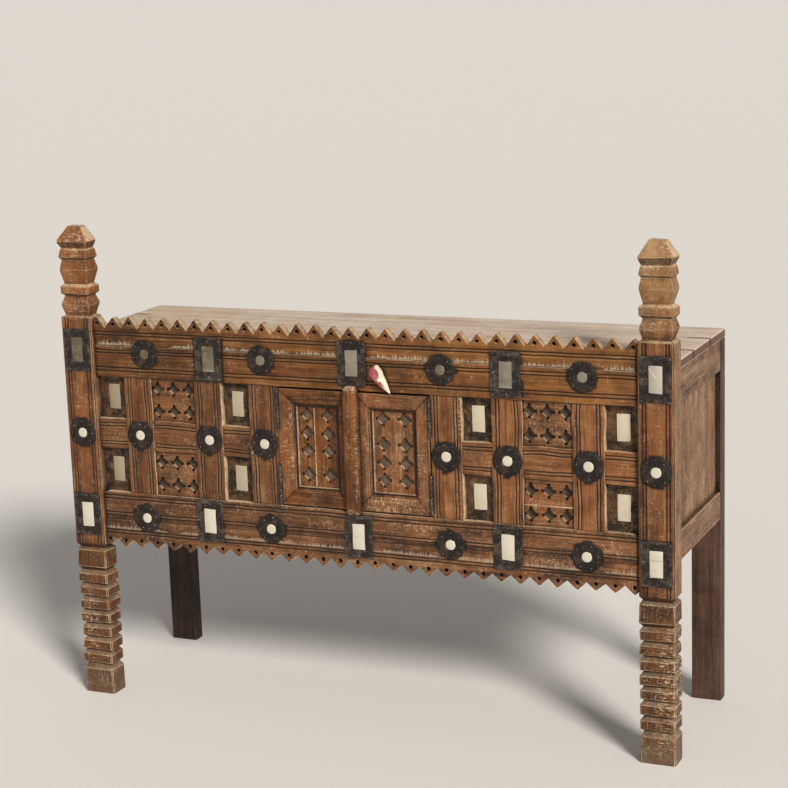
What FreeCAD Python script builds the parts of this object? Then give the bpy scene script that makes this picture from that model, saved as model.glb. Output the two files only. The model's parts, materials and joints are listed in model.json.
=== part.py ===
import FreeCAD, Part
import math
import os

# Dowry chest: a shallow case carried high between two carved front posts and two plank
# rear posts, with a pair of small doors in a framed, pierced and mirrored front.
# Millimetres, +Z up, front towards -Y, origin on the floor under the middle of the chest.

# Overall
width = 1514.0
case_depth = 450.0

# Front posts: flat baulks, chamfered, notched into rings below the case and a finial above it
post_width = 82.0
post_depth = 56.0
post_proud = 9.0
block_chamfer = 3.0
leg_chamfer = 3.0
finial_chamfer = 7.0
post_groove_inset = 11.0
notch_depth = 8.0
foot_height = 62.0
foot_bevel = 13.0
ring_count = 7
ring_pitch = 34.5
ring_undercut = 5.0
ring_flat = 20.0
neck_undercut = 9.5
neck_height = 42.0
collar_fall = 7.0
collar_rise = 11.0
shoulder_drop = 3.0
finial_outline = (
    (9.5, 5.0), (2.5, 30.0), (9.5, 51.0), (2.0, 58.0), (2.0, 74.0), (11.0, 81.0),
    (2.5, 114.0), (8.5, 138.0), (3.5, 144.0), (7.0, 161.0), (9.5, 165.0), (1.0, 182.0),
)
cap_rise = 37.0
cap_share = 0.42

# Rear posts: plain planks
rear_post_width = 72.0
rear_post_thick = 35.0
rear_post_inset = 7.0

# Toothed front rails; a moulding's level is a share of its rail's height
rail_thick = 30.0
bottom_rail_height = 135.0
bottom_rail_drop = 1.0
top_rail_height = 144.0
opening_height = 286.0
top_grooves = (0.104, 0.160, 0.403, 0.455)
top_band_grooves = (0.705, 0.757)
top_ledge = 0.521
top_ledge_depth = 4.0
bottom_band_grooves = (0.241, 0.296)
bottom_grooves = (0.574, 0.630, 0.881, 0.941)
bottom_ledge = 0.489
bottom_ledge_depth = 2.5
bottom_ledge_flat = 6.0
ledge_bevel = 2.0
tooth_count = 31
tooth_tip = 3.0
top_tooth_depth = 26.0
bottom_tooth_depth = 18.0
tooth_strip_thick = 22.0
peg_hole_radius = 5.2
peg_hole_sides = 6
peg_hole_depth = 12.0
peg_hole_inset = 15.5
rail_tenon_length = 40.0
rail_tenon_thick = 14.0
rail_tenon_height = 60.0

# Worked grooves, in pairs
groove_width = 4.4
groove_depth = 3.0
groove_pitch = 7.5
groove_inset = 10.0

# Columns of the front: the door opening as a share of the width, and outwards from it
# the shares of the run between the opening and the post
opening_share = 0.252345
inner_stile_share = 0.153
inner_recess_share = 0.151
middle_stile_share = 0.147
panel_share = 0.24
outer_stile_share = 0.149
stile_setback = 1.5
stile_thick = 24.0
stile_tenon = 14.0
stile_tenon_thick = 10.0
stile_tenon_shoulder = 13.0
cross_rail_share = 0.255
cross_rail_setback = 1.0
cross_rise_share = 0.381
cross_tenon = 8.0

# Pierced panels and mirror recesses
panel_front = 7.0
panel_thick = 12.0
backing_thick = 2.0
recess_depth = 19.0
recess_board_thick = 8.0
panel_lap = 6.0
star_reach_share = 0.151
star_waist_share = 0.105
star_tip_share = 0.06
star_column_share = 0.362
star_row_share = 0.505

# Iron plates and their mirrors
plate_thick = 1.5
plate_margin = 0.5
top_plate_share = 0.708
bottom_plate_share = 0.756
window_width = 31.0
window_height = 61.0
round_plate_lap = 0.5
round_plate_sides = 12
round_window_radius = 13.2
round_window_sides = 8
recess_plate_margin = 1.5
mirror_thick = 1.2
mirror_gap = 0.15
top_middle_plate_rise = 0.4375
top_side_plate_rise = 0.382
top_round_rise = 0.403
bottom_middle_plate_rise = 0.563
bottom_side_plate_rise = 0.607
bottom_round_rise = 0.563
inner_round_share = 0.446
outer_round_share = 0.347

# How far the plates on the rails are nailed out of line, from left to right
top_plate_shifts = (8.0, 3.0, 0.0)
bottom_plate_shifts = (-8.0, 5.5, -2.0)
top_round_shifts = (13.0, -5.0, -5.0, 0.0)
bottom_round_shifts = (-5.0, 4.0, 9.0, 5.0)

# Case: sides, back, top and floor
side_inset = 9.0
side_thick = 22.0
side_panel_depth = 11.0
side_top_rail_height = 74.0
low_rail_height = 67.0
low_rail_drop = 3.0
side_board_count = 3
board_lap = 8.0
side_tenon = 15.0
side_tenon_thick = 10.0
side_tenon_shoulder = 10.0
back_inset = 3.0
back_board_count = 7
top_thick = 20.0
top_step = 50.0
top_board_count = 3
floor_thick = 15.0
floor_drop = 48.0
floor_board_count = 3
bearer_width = 40.0
bearer_height = 22.0
bearer_share = 0.32
board_gap = 0.4
joint_gap = 0.2

# Doors
door_gap = 2.4
door_end_gap = 5.0
door_proud = 0.4
door_thick = 24.0
door_frame_width = 33.0
door_rim = 4.0
door_bevel = 5.9
door_lip_back = 8.0
door_lap = 6.0
door_mitre_x = 3.0
door_panel_bead = 12.0
door_panel_sink = 8.0
door_panel_thick = 14.0
door_star_columns = (-0.222, 0.222)
left_star_rows = (0.362, 0.152, -0.043, -0.314)
right_star_rows = (0.371, 0.086, -0.119, -0.319)
batten_width = 35.0
batten_thick = 19.0
batten_round = 8.0
batten_top_lap = 11.0
batten_low_lap = 6.0
meeting_gap = 3.3
stop_reach = 12.0
stop_thick = 10.0
stop_hold = 20.0
stop_gap = 0.6

# Hinges
hinge_length = 92.0
hinge_end = 2.0
barrel_radius = 4.0
barrel_sides = 10
barrel_room = 0.6
pin_radius = 2.0
pin_play = 0.06
knuckle_count = 3
knuckle_gap = 0.4
leaf_thick = 1.6
leaf_depth = 18.0

# Turn button over the right door
button_share = 0.3455
button_rise = 50.0
button_length = 62.0
button_head = 12.0
button_width = 25.0
button_thick = 22.0
button_waist = 16.0
button_crown_width = 16.0
button_crown_thick = 16.0
button_tip_width = 3.0
button_tip_thick = 6.0
button_lean = 32.0
button_gap = 0.8
nail_head_radius = 4.0
nail_head_sides = 8
nail_head_thick = 2.0
nail_hold = 18.0

# Places worked out from the sizes
half = width / 2
post_inner = half - post_width
most_proud = button_gap + button_thick + button_gap + nail_head_thick
front = most_proud - (case_depth + most_proud) / 2
back = front + case_depth
first_notch = foot_height + foot_bevel
neck_base = first_notch + ring_count * ring_pitch + neck_undercut
collar_notch = neck_base + neck_height + collar_fall
block_base = collar_notch + collar_rise
bottom_tip = block_base - bottom_rail_drop
bottom_rail_top = bottom_tip + bottom_rail_height
top_rail_base = bottom_rail_top + opening_height
top_tip = top_rail_base + top_rail_height
shoulder = top_tip - shoulder_drop
post_top = shoulder + finial_outline[-1][1] + cap_rise
top_height = top_tip - top_step
top_under = top_height - top_thick
cross_rail_height = opening_height * cross_rail_share
cross_base = bottom_rail_top + opening_height * cross_rise_share
cross_top = cross_base + cross_rail_height
rail_back = front + rail_thick
post_front = front - post_proud
post_back = post_front + post_depth
rear_front = back - rear_post_thick
rear_outer = half - rear_post_inset
rear_inner = rear_outer - rear_post_width
stile_front = front + stile_setback
stile_back = stile_front + stile_thick
opening_half = half * opening_share
run = post_inner - opening_half
panel_width = run * panel_share
inner_out = opening_half + run * inner_stile_share
middle_in = inner_out + run * inner_recess_share
middle_out = middle_in + run * middle_stile_share
outer_in = middle_out + panel_width
outer_out = outer_in + run * outer_stile_share
side_outer = half - side_inset
side_inner = side_outer - side_thick
side_low_top = bottom_rail_top - low_rail_drop
side_low_base = side_low_top - low_rail_height
side_top_base = top_under - side_top_rail_height
floor_top = bottom_rail_top - floor_drop
hinge_x = opening_half - door_gap / 2
door_edge = opening_half - door_gap
door_low = bottom_rail_top + door_end_gap
door_high = top_rail_base - door_end_gap
sight_in = door_mitre_x + door_frame_width
sight_out = door_edge - door_frame_width
sight_low = door_low + door_frame_width
sight_high = door_high - door_frame_width
door_front = front - door_proud
door_back = front + door_thick
star_reach = panel_width * star_reach_share
star_waist = panel_width * star_waist_share
star_tip_width = panel_width * star_tip_share
star_column_pitch = panel_width * star_column_share
star_row_pitch = (cross_base - bottom_rail_top) * star_row_share
plate_width = middle_out - middle_in - 2 * plate_margin
top_plate_height = top_rail_height * top_plate_share
bottom_plate_height = bottom_rail_height * bottom_plate_share
round_plate_radius = (middle_out - middle_in) / 2 + round_plate_lap
button_x = opening_half * button_share
button_z = top_rail_base + button_rise

X = FreeCAD.Vector(1, 0, 0)
Y = FreeCAD.Vector(0, 1, 0)
Z = FreeCAD.Vector(0, 0, 1)
middle_plane = FreeCAD.Vector(0, 0, 0)


def box(x0, x1, y0, y1, z0, z1):
    """A box between two corners."""
    return Part.makeBox(x1 - x0, y1 - y0, z1 - z0, FreeCAD.Vector(x0, y0, z0))


def prism_y(outline, y0, y1):
    """An outline of (x, z) points pushed from y0 to y1."""
    points = [FreeCAD.Vector(x, y0, z) for x, z in outline]
    return Part.Face(Part.makePolygon(points + points[:1])).extrude(Y * (y1 - y0))


def prism_x(outline, x0, x1):
    """An outline of (y, z) points pushed from x0 to x1."""
    points = [FreeCAD.Vector(x0, y, z) for y, z in outline]
    return Part.Face(Part.makePolygon(points + points[:1])).extrude(X * (x1 - x0))


def prism_z(outline, z0, z1):
    """An outline of (x, y) points pushed from z0 to z1."""
    points = [FreeCAD.Vector(x, y, z0) for x, y in outline]
    return Part.Face(Part.makePolygon(points + points[:1])).extrude(Z * (z1 - z0))


def rod_y(x, z, radius, y0, y1):
    """A round bar or hole along Y."""
    return Part.makeCylinder(radius, y1 - y0, FreeCAD.Vector(x, y0, z), Y)


def ring(u, v, radius, sides):
    """The corners of a flat-sided round about a point."""
    turns = [2 * math.pi * (i + 0.5) / sides for i in range(sides)]
    return [(u + radius * math.cos(a), v + radius * math.sin(a)) for a in turns]


def disc(x, z, radius, sides, y0, y1):
    """A disc or hole along Y, cut by hand with flat sides."""
    return prism_y(ring(x, z, radius, sides), y0, y1)


def tapered(sections):
    """A solid with flat faces through (left, right, front, back, height) sections, lowest first."""
    rings = []
    for x0, x1, y0, y1, z in sections:
        rings.append([FreeCAD.Vector(x, y, z) for x, y in ((x0, y0), (x1, y0), (x1, y1), (x0, y1))])
    quads = [rings[0], rings[-1]]
    for low, high in zip(rings, rings[1:]):
        quads += [[low[i], low[(i + 1) % 4], high[(i + 1) % 4], high[i]] for i in range(4)]
    faces = [Part.Face(Part.makePolygon(quad + quad[:1])) for quad in quads]
    return Part.Solid(Part.Shell(faces))


def mirrored(shape):
    """The same piece on the other side of the chest."""
    return shape.mirror(middle_plane, X)


def save(node, *solids):
    """Write one node: a single piece, or a set of like pieces."""
    shape = solids[0] if len(solids) == 1 else Part.makeCompound(list(solids))
    shape.exportStep("parts/" + node + ".step")


def groove_at(level):
    """The three points of one V groove in a rail's face, as (depth, height)."""
    wide = groove_width / 2
    return [(front, level - wide), (front + groove_depth, level), (front, level + wide)]


def upright_groove(x, face, z0, z1):
    """A V groove along an upright, ready to cut."""
    wide = groove_width / 2
    return prism_z([(x - wide, face), (x, face + groove_depth), (x + wide, face)], z0, z1)


def level_groove(z, face, x0, x1):
    """A V groove along a cross rail, ready to cut."""
    wide = groove_width / 2
    return prism_x([(face, z - wide), (face + groove_depth, z), (face, z + wide)], x0, x1)


def rail_tenon(base, grow=0.0):
    """The tenon at the right end of a front rail, or its mortise when grown."""
    y0 = front + (rail_thick - rail_tenon_thick) / 2
    end = post_inner + rail_tenon_length + 5 * grow
    return box(post_inner - grow, end, y0 - grow, y0 + rail_tenon_thick + grow,
               base - grow, base + rail_tenon_height + grow)


def side_tenon_at(base, top, y0, y1, grow=0.0):
    """A tenon of a right-hand side rail, or its mortise when grown."""
    middle = side_inner + side_thick / 2
    deep = side_tenon_thick / 2 + grow
    return box(middle - deep, middle + deep, y0 - grow, y1 + grow,
               base + side_tenon_shoulder - grow, top - side_tenon_shoulder + grow)


def back_tenon_at(base, top, grow=0.0):
    """The tenon at the right end of a back rail, or its mortise when grown."""
    middle = back - back_inset - side_thick / 2
    return box(rear_inner - grow, rear_inner + side_tenon + 5 * grow, middle - side_tenon_thick / 2 - grow,
               middle + side_tenon_thick / 2 + grow, base + side_tenon_shoulder - grow,
               top - side_tenon_shoulder + grow)


top_tenon_base = top_rail_base + (top_under - top_rail_base - rail_tenon_height) / 2
bottom_tenon_base = bottom_rail_top - groove_inset - rail_tenon_height
side_levels = ((side_low_base, side_low_top), (side_top_base, top_under))


def post_outline(full):
    """A front post's outline in one direction, from the half side of its baulk."""
    outline = [(full, 0.0), (full, foot_height)]
    for ring in range(ring_count):
        notch = first_notch + ring * ring_pitch
        outline += [(full - notch_depth, notch), (full, notch + ring_undercut),
                    (full, notch + ring_undercut + ring_flat)]
    outline += [(full - notch_depth, neck_base - neck_undercut), (full, neck_base),
                (full, neck_base + neck_height), (full - notch_depth, collar_notch),
                (full, block_base), (full, shoulder)]
    outline += [(full - inset, shoulder + rise) for inset, rise in finial_outline]
    outline.append((full * cap_share, post_top))
    return outline + [(-x, z) for x, z in reversed(outline)]


def front_post():
    """The right front post, cut from one flat baulk."""
    full_x = post_width / 2
    full_y = post_depth / 2
    post = prism_y(post_outline(full_x), -full_y, full_y)
    post = post.common(prism_x(post_outline(full_y), -full_x, full_x))
    corners = []
    for chamfer, z0, z1 in ((leg_chamfer, -1, block_base), (block_chamfer, block_base, shoulder),
                            (finial_chamfer, shoulder, post_top + 1)):
        for sx in (-1, 1):
            for sy in (-1, 1):
                corner = [(full_x - chamfer - 1, full_y + 1), (full_x + 1, full_y - chamfer - 1),
                          (full_x + 1, full_y + 1)]
                corners.append(prism_z([(sx * x, sy * y) for x, y in corner], z0, z1))
    post = post.cut(corners)
    post.translate(FreeCAD.Vector(half - full_x, post_front + full_y, 0))
    cuts = []
    for step in (post_groove_inset, post_groove_inset + groove_pitch):
        for x in (post_inner + step, half - step):
            cuts.append(upright_groove(x, post_front, block_base, shoulder))
    cuts += [rail_tenon(top_tenon_base, joint_gap), rail_tenon(bottom_tenon_base, joint_gap)]
    for base, top in side_levels:
        cuts.append(side_tenon_at(base, top, post_back - side_tenon - joint_gap, post_back, joint_gap))
    return post.cut(cuts)


def rear_post():
    """The right rear post, a plank from the floor to the underside of the top."""
    post = box(rear_inner, rear_outer, rear_front, back, 0, top_under)
    cuts = []
    for base, top in side_levels:
        cuts.append(side_tenon_at(base, top, rear_front, rear_front + side_tenon + joint_gap, joint_gap))
        cuts.append(back_tenon_at(base, top, joint_gap))
    return post.cut(cuts)


def toothed_outline(straight, valley, tip):
    """A rail's front outline in (x, z): straight on one long edge, a row of teeth on the other."""
    pitch = 2 * post_inner / (tooth_count - 0.5)
    start = -pitch * (tooth_count - 1) / 2
    outline = [(start - pitch / 2, straight), (start - pitch / 2, valley)]
    for tooth in range(tooth_count):
        x = start + tooth * pitch
        outline += [(x - tooth_tip / 2, tip), (x + tooth_tip / 2, tip), (x + pitch / 2, valley)]
    outline.append((start - pitch / 2 + tooth_count * pitch, straight))
    return outline


def peg_holes(level):
    """The drilled hole in each tooth."""
    pitch = 2 * post_inner / (tooth_count - 0.5)
    start = -pitch * (tooth_count - 1) / 2
    deep = front + peg_hole_depth
    return [disc(start + tooth * pitch, level, peg_hole_radius, peg_hole_sides, front - 1, deep)
            for tooth in range(tooth_count)]


def rebates():
    """The steps behind the front frame that take the pierced panels and the recess boards."""
    openings = ((inner_out, middle_in, recess_depth), (middle_out, outer_in, panel_front),
                (outer_out, post_inner, recess_depth))
    steps = []
    for x0, x1, depth in openings:
        for z0, z1 in ((bottom_rail_top, cross_base), (cross_top, top_rail_base)):
            low = x0 - panel_lap - joint_gap
            high = min(x1 + panel_lap + joint_gap, post_inner)
            step = box(low, high, front + depth, rail_back + recess_depth,
                       z0 - panel_lap - joint_gap, z1 + panel_lap + joint_gap)
            steps += [step, mirrored(step)]
    return steps


def stile_tenon_at(x0, x1, z0, z1, grow=0.0):
    """One tenon of a front stile, or its mortise when grown."""
    y0 = stile_front + (stile_thick - stile_tenon_thick) / 2
    return box(x0 + stile_tenon_shoulder - grow, x1 - stile_tenon_shoulder + grow, y0 - grow,
               y0 + stile_tenon_thick + grow, z0 - grow, z1 + grow)


stile_spans = ((opening_half, inner_out), (middle_in, middle_out), (outer_in, outer_out))


def stile_mortises():
    """Sockets in both front rails for the ends of all six stiles."""
    sockets = []
    for x0, x1 in stile_spans:
        for z0, z1 in ((bottom_rail_top - stile_tenon - joint_gap, bottom_rail_top),
                       (top_rail_base, top_rail_base + stile_tenon + joint_gap)):
            socket = stile_tenon_at(x0, x1, z0, z1, joint_gap)
            sockets += [socket, mirrored(socket)]
    return sockets


def button_nail_hole():
    """The hole that the turn button's nail is driven into."""
    return rod_y(button_x, button_z, pin_radius + pin_play, front - 1, front + nail_hold)


def front_top_rail():
    """Moulded upper rail: grooved lip, flat, ledge, sloping band and a comb of teeth above the top."""
    base = top_rail_base
    ledge = base + top_rail_height * top_ledge
    section = [(front, base)]
    for share in top_grooves:
        section += groove_at(base + top_rail_height * share)
    section += [(front, ledge), (front + top_ledge_depth, ledge + ledge_bevel)]
    for share in top_band_grooves:
        section += groove_at(base + top_rail_height * share)
    strip = front + tooth_strip_thick
    section += [(front, top_tip), (strip, top_tip), (strip, top_height)]
    section += [(rail_back, top_height), (rail_back, base)]
    rail = prism_x(section, -post_inner, post_inner)
    teeth = toothed_outline(base, top_tip - top_tooth_depth, top_tip)
    rail = rail.common(prism_y(teeth, front - 1, rail_back + 1))
    tenon = rail_tenon(top_tenon_base)
    rail = rail.fuse([tenon, mirrored(tenon)]).removeSplitter()
    return rail.cut(peg_holes(top_tip - peg_hole_inset) + rebates() + stile_mortises() + [button_nail_hole()])


def front_bottom_rail():
    """Moulded lower rail with its teeth hanging down."""
    base = bottom_tip
    ledge = base + bottom_rail_height * bottom_ledge
    sunk = front + bottom_ledge_depth
    section = [(front, base)]
    for share in bottom_band_grooves:
        section += groove_at(base + bottom_rail_height * share)
    section += [(front, ledge), (sunk, ledge + ledge_bevel), (sunk, ledge + ledge_bevel + bottom_ledge_flat)]
    for share in bottom_grooves:
        section += groove_at(base + bottom_rail_height * share)
    section += [(front, bottom_rail_top), (rail_back, bottom_rail_top), (rail_back, base)]
    rail = prism_x(section, -post_inner, post_inner)
    teeth = toothed_outline(bottom_rail_top, base + bottom_tooth_depth, base)
    rail = rail.common(prism_y(teeth, front - 1, rail_back + 1))
    tenon = rail_tenon(bottom_tenon_base)
    rail = rail.fuse([tenon, mirrored(tenon)]).removeSplitter()
    return rail.cut(peg_holes(base + peg_hole_inset) + rebates() + stile_mortises())


cross_spans = ((inner_out, middle_in), (middle_out, outer_in), (outer_out, post_inner))


def cross_tenon_at(x0, x1, grow=0.0):
    """A cross rail's tenon, or its mortise when grown."""
    middle = (cross_base + cross_top) / 2
    tall = cross_rail_height / 2 - stile_tenon_shoulder
    y0 = stile_front + (stile_thick - stile_tenon_thick) / 2
    return box(x0 - grow, x1 + grow, y0 - grow, y0 + stile_tenon_thick + grow, middle - tall - grow,
               middle + tall + grow)


def barrel_rooms(x=hinge_x):
    """The hollows along the hinge axis in which the barrels lie."""
    hollow = ring(x, front, barrel_radius + barrel_room, barrel_sides)
    return [prism_z(hollow, low - barrel_room, low + hinge_length + barrel_room) for low in hinge_lows]


def leaf_beds(x0, x1):
    """The shallow steps into which hinge leaves are let."""
    return [box(x0, x1, front, front + barrel_radius + leaf_depth + joint_gap, low - joint_gap,
                low + hinge_length + joint_gap) for low in hinge_lows]


hinge_lows = (door_low + hinge_end, door_high - hinge_end - hinge_length)


def stile(x0, x1):
    """A right-hand stile with a pair of grooves along each edge, tenoned into both rails."""
    post = box(x0, x1, stile_front, stile_back, bottom_rail_top, top_rail_base)
    tenons = [stile_tenon_at(x0, x1, bottom_rail_top - stile_tenon, bottom_rail_top),
              stile_tenon_at(x0, x1, top_rail_base, top_rail_base + stile_tenon)]
    post = post.fuse(tenons).removeSplitter()
    cuts = rebates()
    for step in (groove_inset, groove_inset + groove_pitch):
        for x in (x0 + step, x1 - step):
            cuts.append(upright_groove(x, stile_front, bottom_rail_top, top_rail_base))
    for c0, c1 in cross_spans:
        for edge in (c0, c1):
            if x0 - 1 < edge < x1 + 1:
                deep = cross_tenon + joint_gap
                cuts.append(cross_tenon_at(edge - deep, edge + deep, joint_gap))
    if x0 == opening_half:
        cuts += barrel_rooms() + leaf_beds(opening_half - 1, opening_half + leaf_thick)
    return post.cut(cuts)


def cross_rail(x0, x1):
    """A right-hand cross rail between two stiles, or between a stile and the post."""
    face = stile_front + cross_rail_setback
    rail = box(x0, x1, face, stile_back, cross_base, cross_top)
    rail = rail.fuse(cross_tenon_at(x0 - cross_tenon, x0 + 1))
    if x1 < post_inner:
        rail = rail.fuse(cross_tenon_at(x1 - 1, x1 + cross_tenon))
    cuts = rebates()
    for step in (groove_inset, groove_inset + groove_pitch):
        for z in (cross_base + step, cross_top - step):
            cuts.append(level_groove(z, face, x0, x1))
    return rail.removeSplitter().cut(cuts)


def star(x, z, y0, y1):
    """A pierced cross: a square set on its corner with a short arm at each point."""
    tip = star_tip_width / 2
    quarter = [(-tip, star_reach), (tip, star_reach), (tip, star_waist), (star_waist, tip)]
    outline = []
    for c, s in ((1, 0), (0, 1), (-1, 0), (0, -1)):
        outline += [(x + c * px + s * pz, z + c * pz - s * px) for px, pz in quarter]
    return prism_y(outline, y0, y1)


upper_z = (cross_top, top_rail_base)
lower_z = (bottom_rail_top, cross_base)


def filled(x0, x1, levels, y0, y1, lap=panel_lap):
    """A board that fills one opening of the front frame and laps behind its edges."""
    x1 = min(x1 + lap, post_inner - joint_gap)
    return box(x0 - lap, x1, y0, y1, levels[0] - lap, levels[1] + lap)


def pierced_panel(levels):
    """A right-hand panel pierced with two rows of stars."""
    y0 = front + panel_front
    panel = filled(middle_out, outer_in, levels, y0, y0 + panel_thick)
    x = (middle_out + outer_in) / 2
    z = (levels[0] + levels[1]) / 2
    y1 = y0 + panel_thick + 1
    stars = [star(x + column * star_column_pitch, z + row * star_row_pitch / 2, y0 - 1, y1)
             for column in (-1, 0, 1) for row in (-1, 1)]
    return panel.cut(stars)


def iron_plate(x, z, face, wide, high):
    """A rectangular iron plate with a window, lying on the given face."""
    plate = box(x - wide / 2, x + wide / 2, face - plate_thick, face, z - high / 2, z + high / 2)
    window = box(x - window_width / 2, x + window_width / 2, face - plate_thick - 1, face + 1,
                 z - window_height / 2, z + window_height / 2)
    return plate.cut(window)


def window_mirror(x, z, face):
    """The mirror bedded in a rectangular plate's window."""
    wide = window_width / 2 - mirror_gap
    high = window_height / 2 - mirror_gap
    return box(x - wide, x + wide, face - mirror_thick, face, z - high, z + high)


def round_plate(x, z, face):
    """A round iron plate with a round window."""
    plate = disc(x, z, round_plate_radius, round_plate_sides, face - plate_thick, face)
    return plate.cut(disc(x, z, round_window_radius, round_window_sides, face - plate_thick - 1, face + 1))


def round_mirror(x, z, face):
    """The mirror bedded in a round plate's window."""
    return disc(x, z, round_window_radius - mirror_gap, round_window_sides, face - mirror_thick, face)


post_x = half - post_width / 2
middle_x = (middle_in + middle_out) / 2
row_z = (cross_base + cross_top) / 2


def plate_places():
    """Where the rectangular plates lie, as (x, z, face, height)."""
    places = []
    top_row = (top_rail_base, top_rail_height, top_plate_height, top_plate_shifts)
    bottom_row = (bottom_tip, bottom_rail_height, bottom_plate_height, bottom_plate_shifts)
    for row, side_rise, middle_rise in ((top_row, top_side_plate_rise, top_middle_plate_rise),
                                        (bottom_row, bottom_side_plate_rise, bottom_middle_plate_rise)):
        base, tall, high, shifts = row
        side_z = base + tall * side_rise
        middle_z = base + tall * middle_rise
        rail_places = ((-middle_x, side_z), (0.0, middle_z), (middle_x, side_z))
        places += [(x + shift, z, front, high) for (x, z), shift in zip(rail_places, shifts)]
        places += [(x, middle_z, post_front, high) for x in (-post_x, post_x)]
    return places


def round_places():
    """Where the round plates lie, as (x, z, face)."""
    right = [(post_x, row_z, post_front)]
    right += [((x0 + x1) / 2, row_z, stile_front) for x0, x1 in stile_spans]
    places = right + [(-x, z, face) for x, z, face in right]
    inner_x = opening_half + (inner_out - opening_half) * inner_round_share
    outer_x = outer_in + (outer_out - outer_in) * outer_round_share
    top_z = top_rail_base + top_rail_height * top_round_rise
    bottom_z = bottom_tip + bottom_rail_height * bottom_round_rise
    for z, shifts in ((top_z, top_round_shifts), (bottom_z, bottom_round_shifts)):
        places += [(x + shift, z, front) for x, shift in zip((-outer_x, -inner_x, inner_x, outer_x), shifts)]
    return places


def recess_places():
    """Where the recess plates lie, as (x, z, width, height)."""
    places = []
    for x0, x1 in (cross_spans[0], cross_spans[2]):
        for z0, z1 in (lower_z, upper_z):
            wide = x1 - x0 - 2 * recess_plate_margin
            high = z1 - z0 - 2 * recess_plate_margin
            x = (x0 + x1) / 2
            places += [(side * x, (z0 + z1) / 2, wide, high) for side in (1, -1)]
    return places


def side_rail(base, top, lip_up):
    """A right-hand side rail, rebated inside for the side boards and tenoned into both posts."""
    rail = box(side_inner, side_outer, post_back, rear_front, base, top)
    tenons = [side_tenon_at(base, top, post_back - side_tenon, post_back),
              side_tenon_at(base, top, rear_front, rear_front + side_tenon)]
    edge = top if lip_up else base
    step = box(side_inner - 1, side_outer - side_panel_depth, post_back, rear_front,
               edge - board_lap - joint_gap, edge + board_lap + joint_gap)
    return rail.fuse(tenons).removeSplitter().cut(step)


def side_boards():
    """The upright boards of the right side."""
    pitch = (rear_front - post_back) / side_board_count
    x1 = side_outer - side_panel_depth - joint_gap
    z0 = side_low_top - board_lap
    z1 = side_top_base + board_lap
    edge = board_gap / 2
    return [box(side_inner, x1, post_back + i * pitch + edge, post_back + (i + 1) * pitch - edge, z0, z1)
            for i in range(side_board_count)]


def back_rail(base, top, lip_up):
    """A back rail between the rear posts, rebated inside for the back boards."""
    y1 = back - back_inset
    y0 = y1 - side_thick
    rail = box(-rear_inner, rear_inner, y0, y1, base, top)
    tenon = back_tenon_at(base, top)
    edge = top if lip_up else base
    step = box(-rear_inner, rear_inner, y0 - 1, y1 - side_panel_depth, edge - board_lap - joint_gap,
               edge + board_lap + joint_gap)
    return rail.fuse([tenon, mirrored(tenon)]).removeSplitter().cut(step)


def back_boards():
    """The upright boards of the back."""
    y0 = back - back_inset - side_thick
    y1 = back - back_inset - side_panel_depth - joint_gap
    z0 = side_low_top - board_lap
    z1 = side_top_base + board_lap
    pitch = 2 * rear_inner / back_board_count
    edge = board_gap / 2
    return [box(-rear_inner + i * pitch + edge, -rear_inner + (i + 1) * pitch - edge, y0, y1, z0, z1)
            for i in range(back_board_count)]


def long_boards(count, reach, y0, y1, z0, z1):
    """Boards along the chest, side by side and notched round the four posts."""
    pitch = (y1 - y0) / count
    edge = board_gap / 2
    front_notch = box(post_inner - joint_gap, half + 1, post_front, post_back + joint_gap, z0 - 1, z1 + 1)
    rear_notch = box(rear_inner - joint_gap, half + 1, rear_front - joint_gap, back + 1, z0 - 1, z1 + 1)
    notches = [front_notch, mirrored(front_notch)]
    if z0 < top_under:
        notches += [rear_notch, mirrored(rear_notch)]
    boards = []
    for i in range(count):
        board = box(-reach, reach, y0 + i * pitch + edge, y0 + (i + 1) * pitch - edge, z0, z1)
        boards.append(board.cut(notches))
    return boards


def bearers(z1):
    """Cross bearers between the front rail and the back rail."""
    y1 = back - back_inset - side_thick
    return [box(x - bearer_width / 2, x + bearer_width / 2, rail_back, y1, z1 - bearer_height, z1)
            for x in (-width * bearer_share, 0.0, width * bearer_share)]


def door_section(outer, inward, wide_rim=0.0):
    """A door frame's section as (place, depth): rim, bevel, lip and the rebate for the panel."""
    steps = ((-wide_rim, -door_proud), (door_rim, -door_proud), (door_frame_width, door_bevel - door_proud),
             (door_frame_width, door_lip_back), (door_frame_width - door_lap, door_lip_back),
             (door_frame_width - door_lap, door_thick), (-wide_rim, door_thick))
    return [(outer + inward * u, front + v) for u, v in steps]


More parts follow.
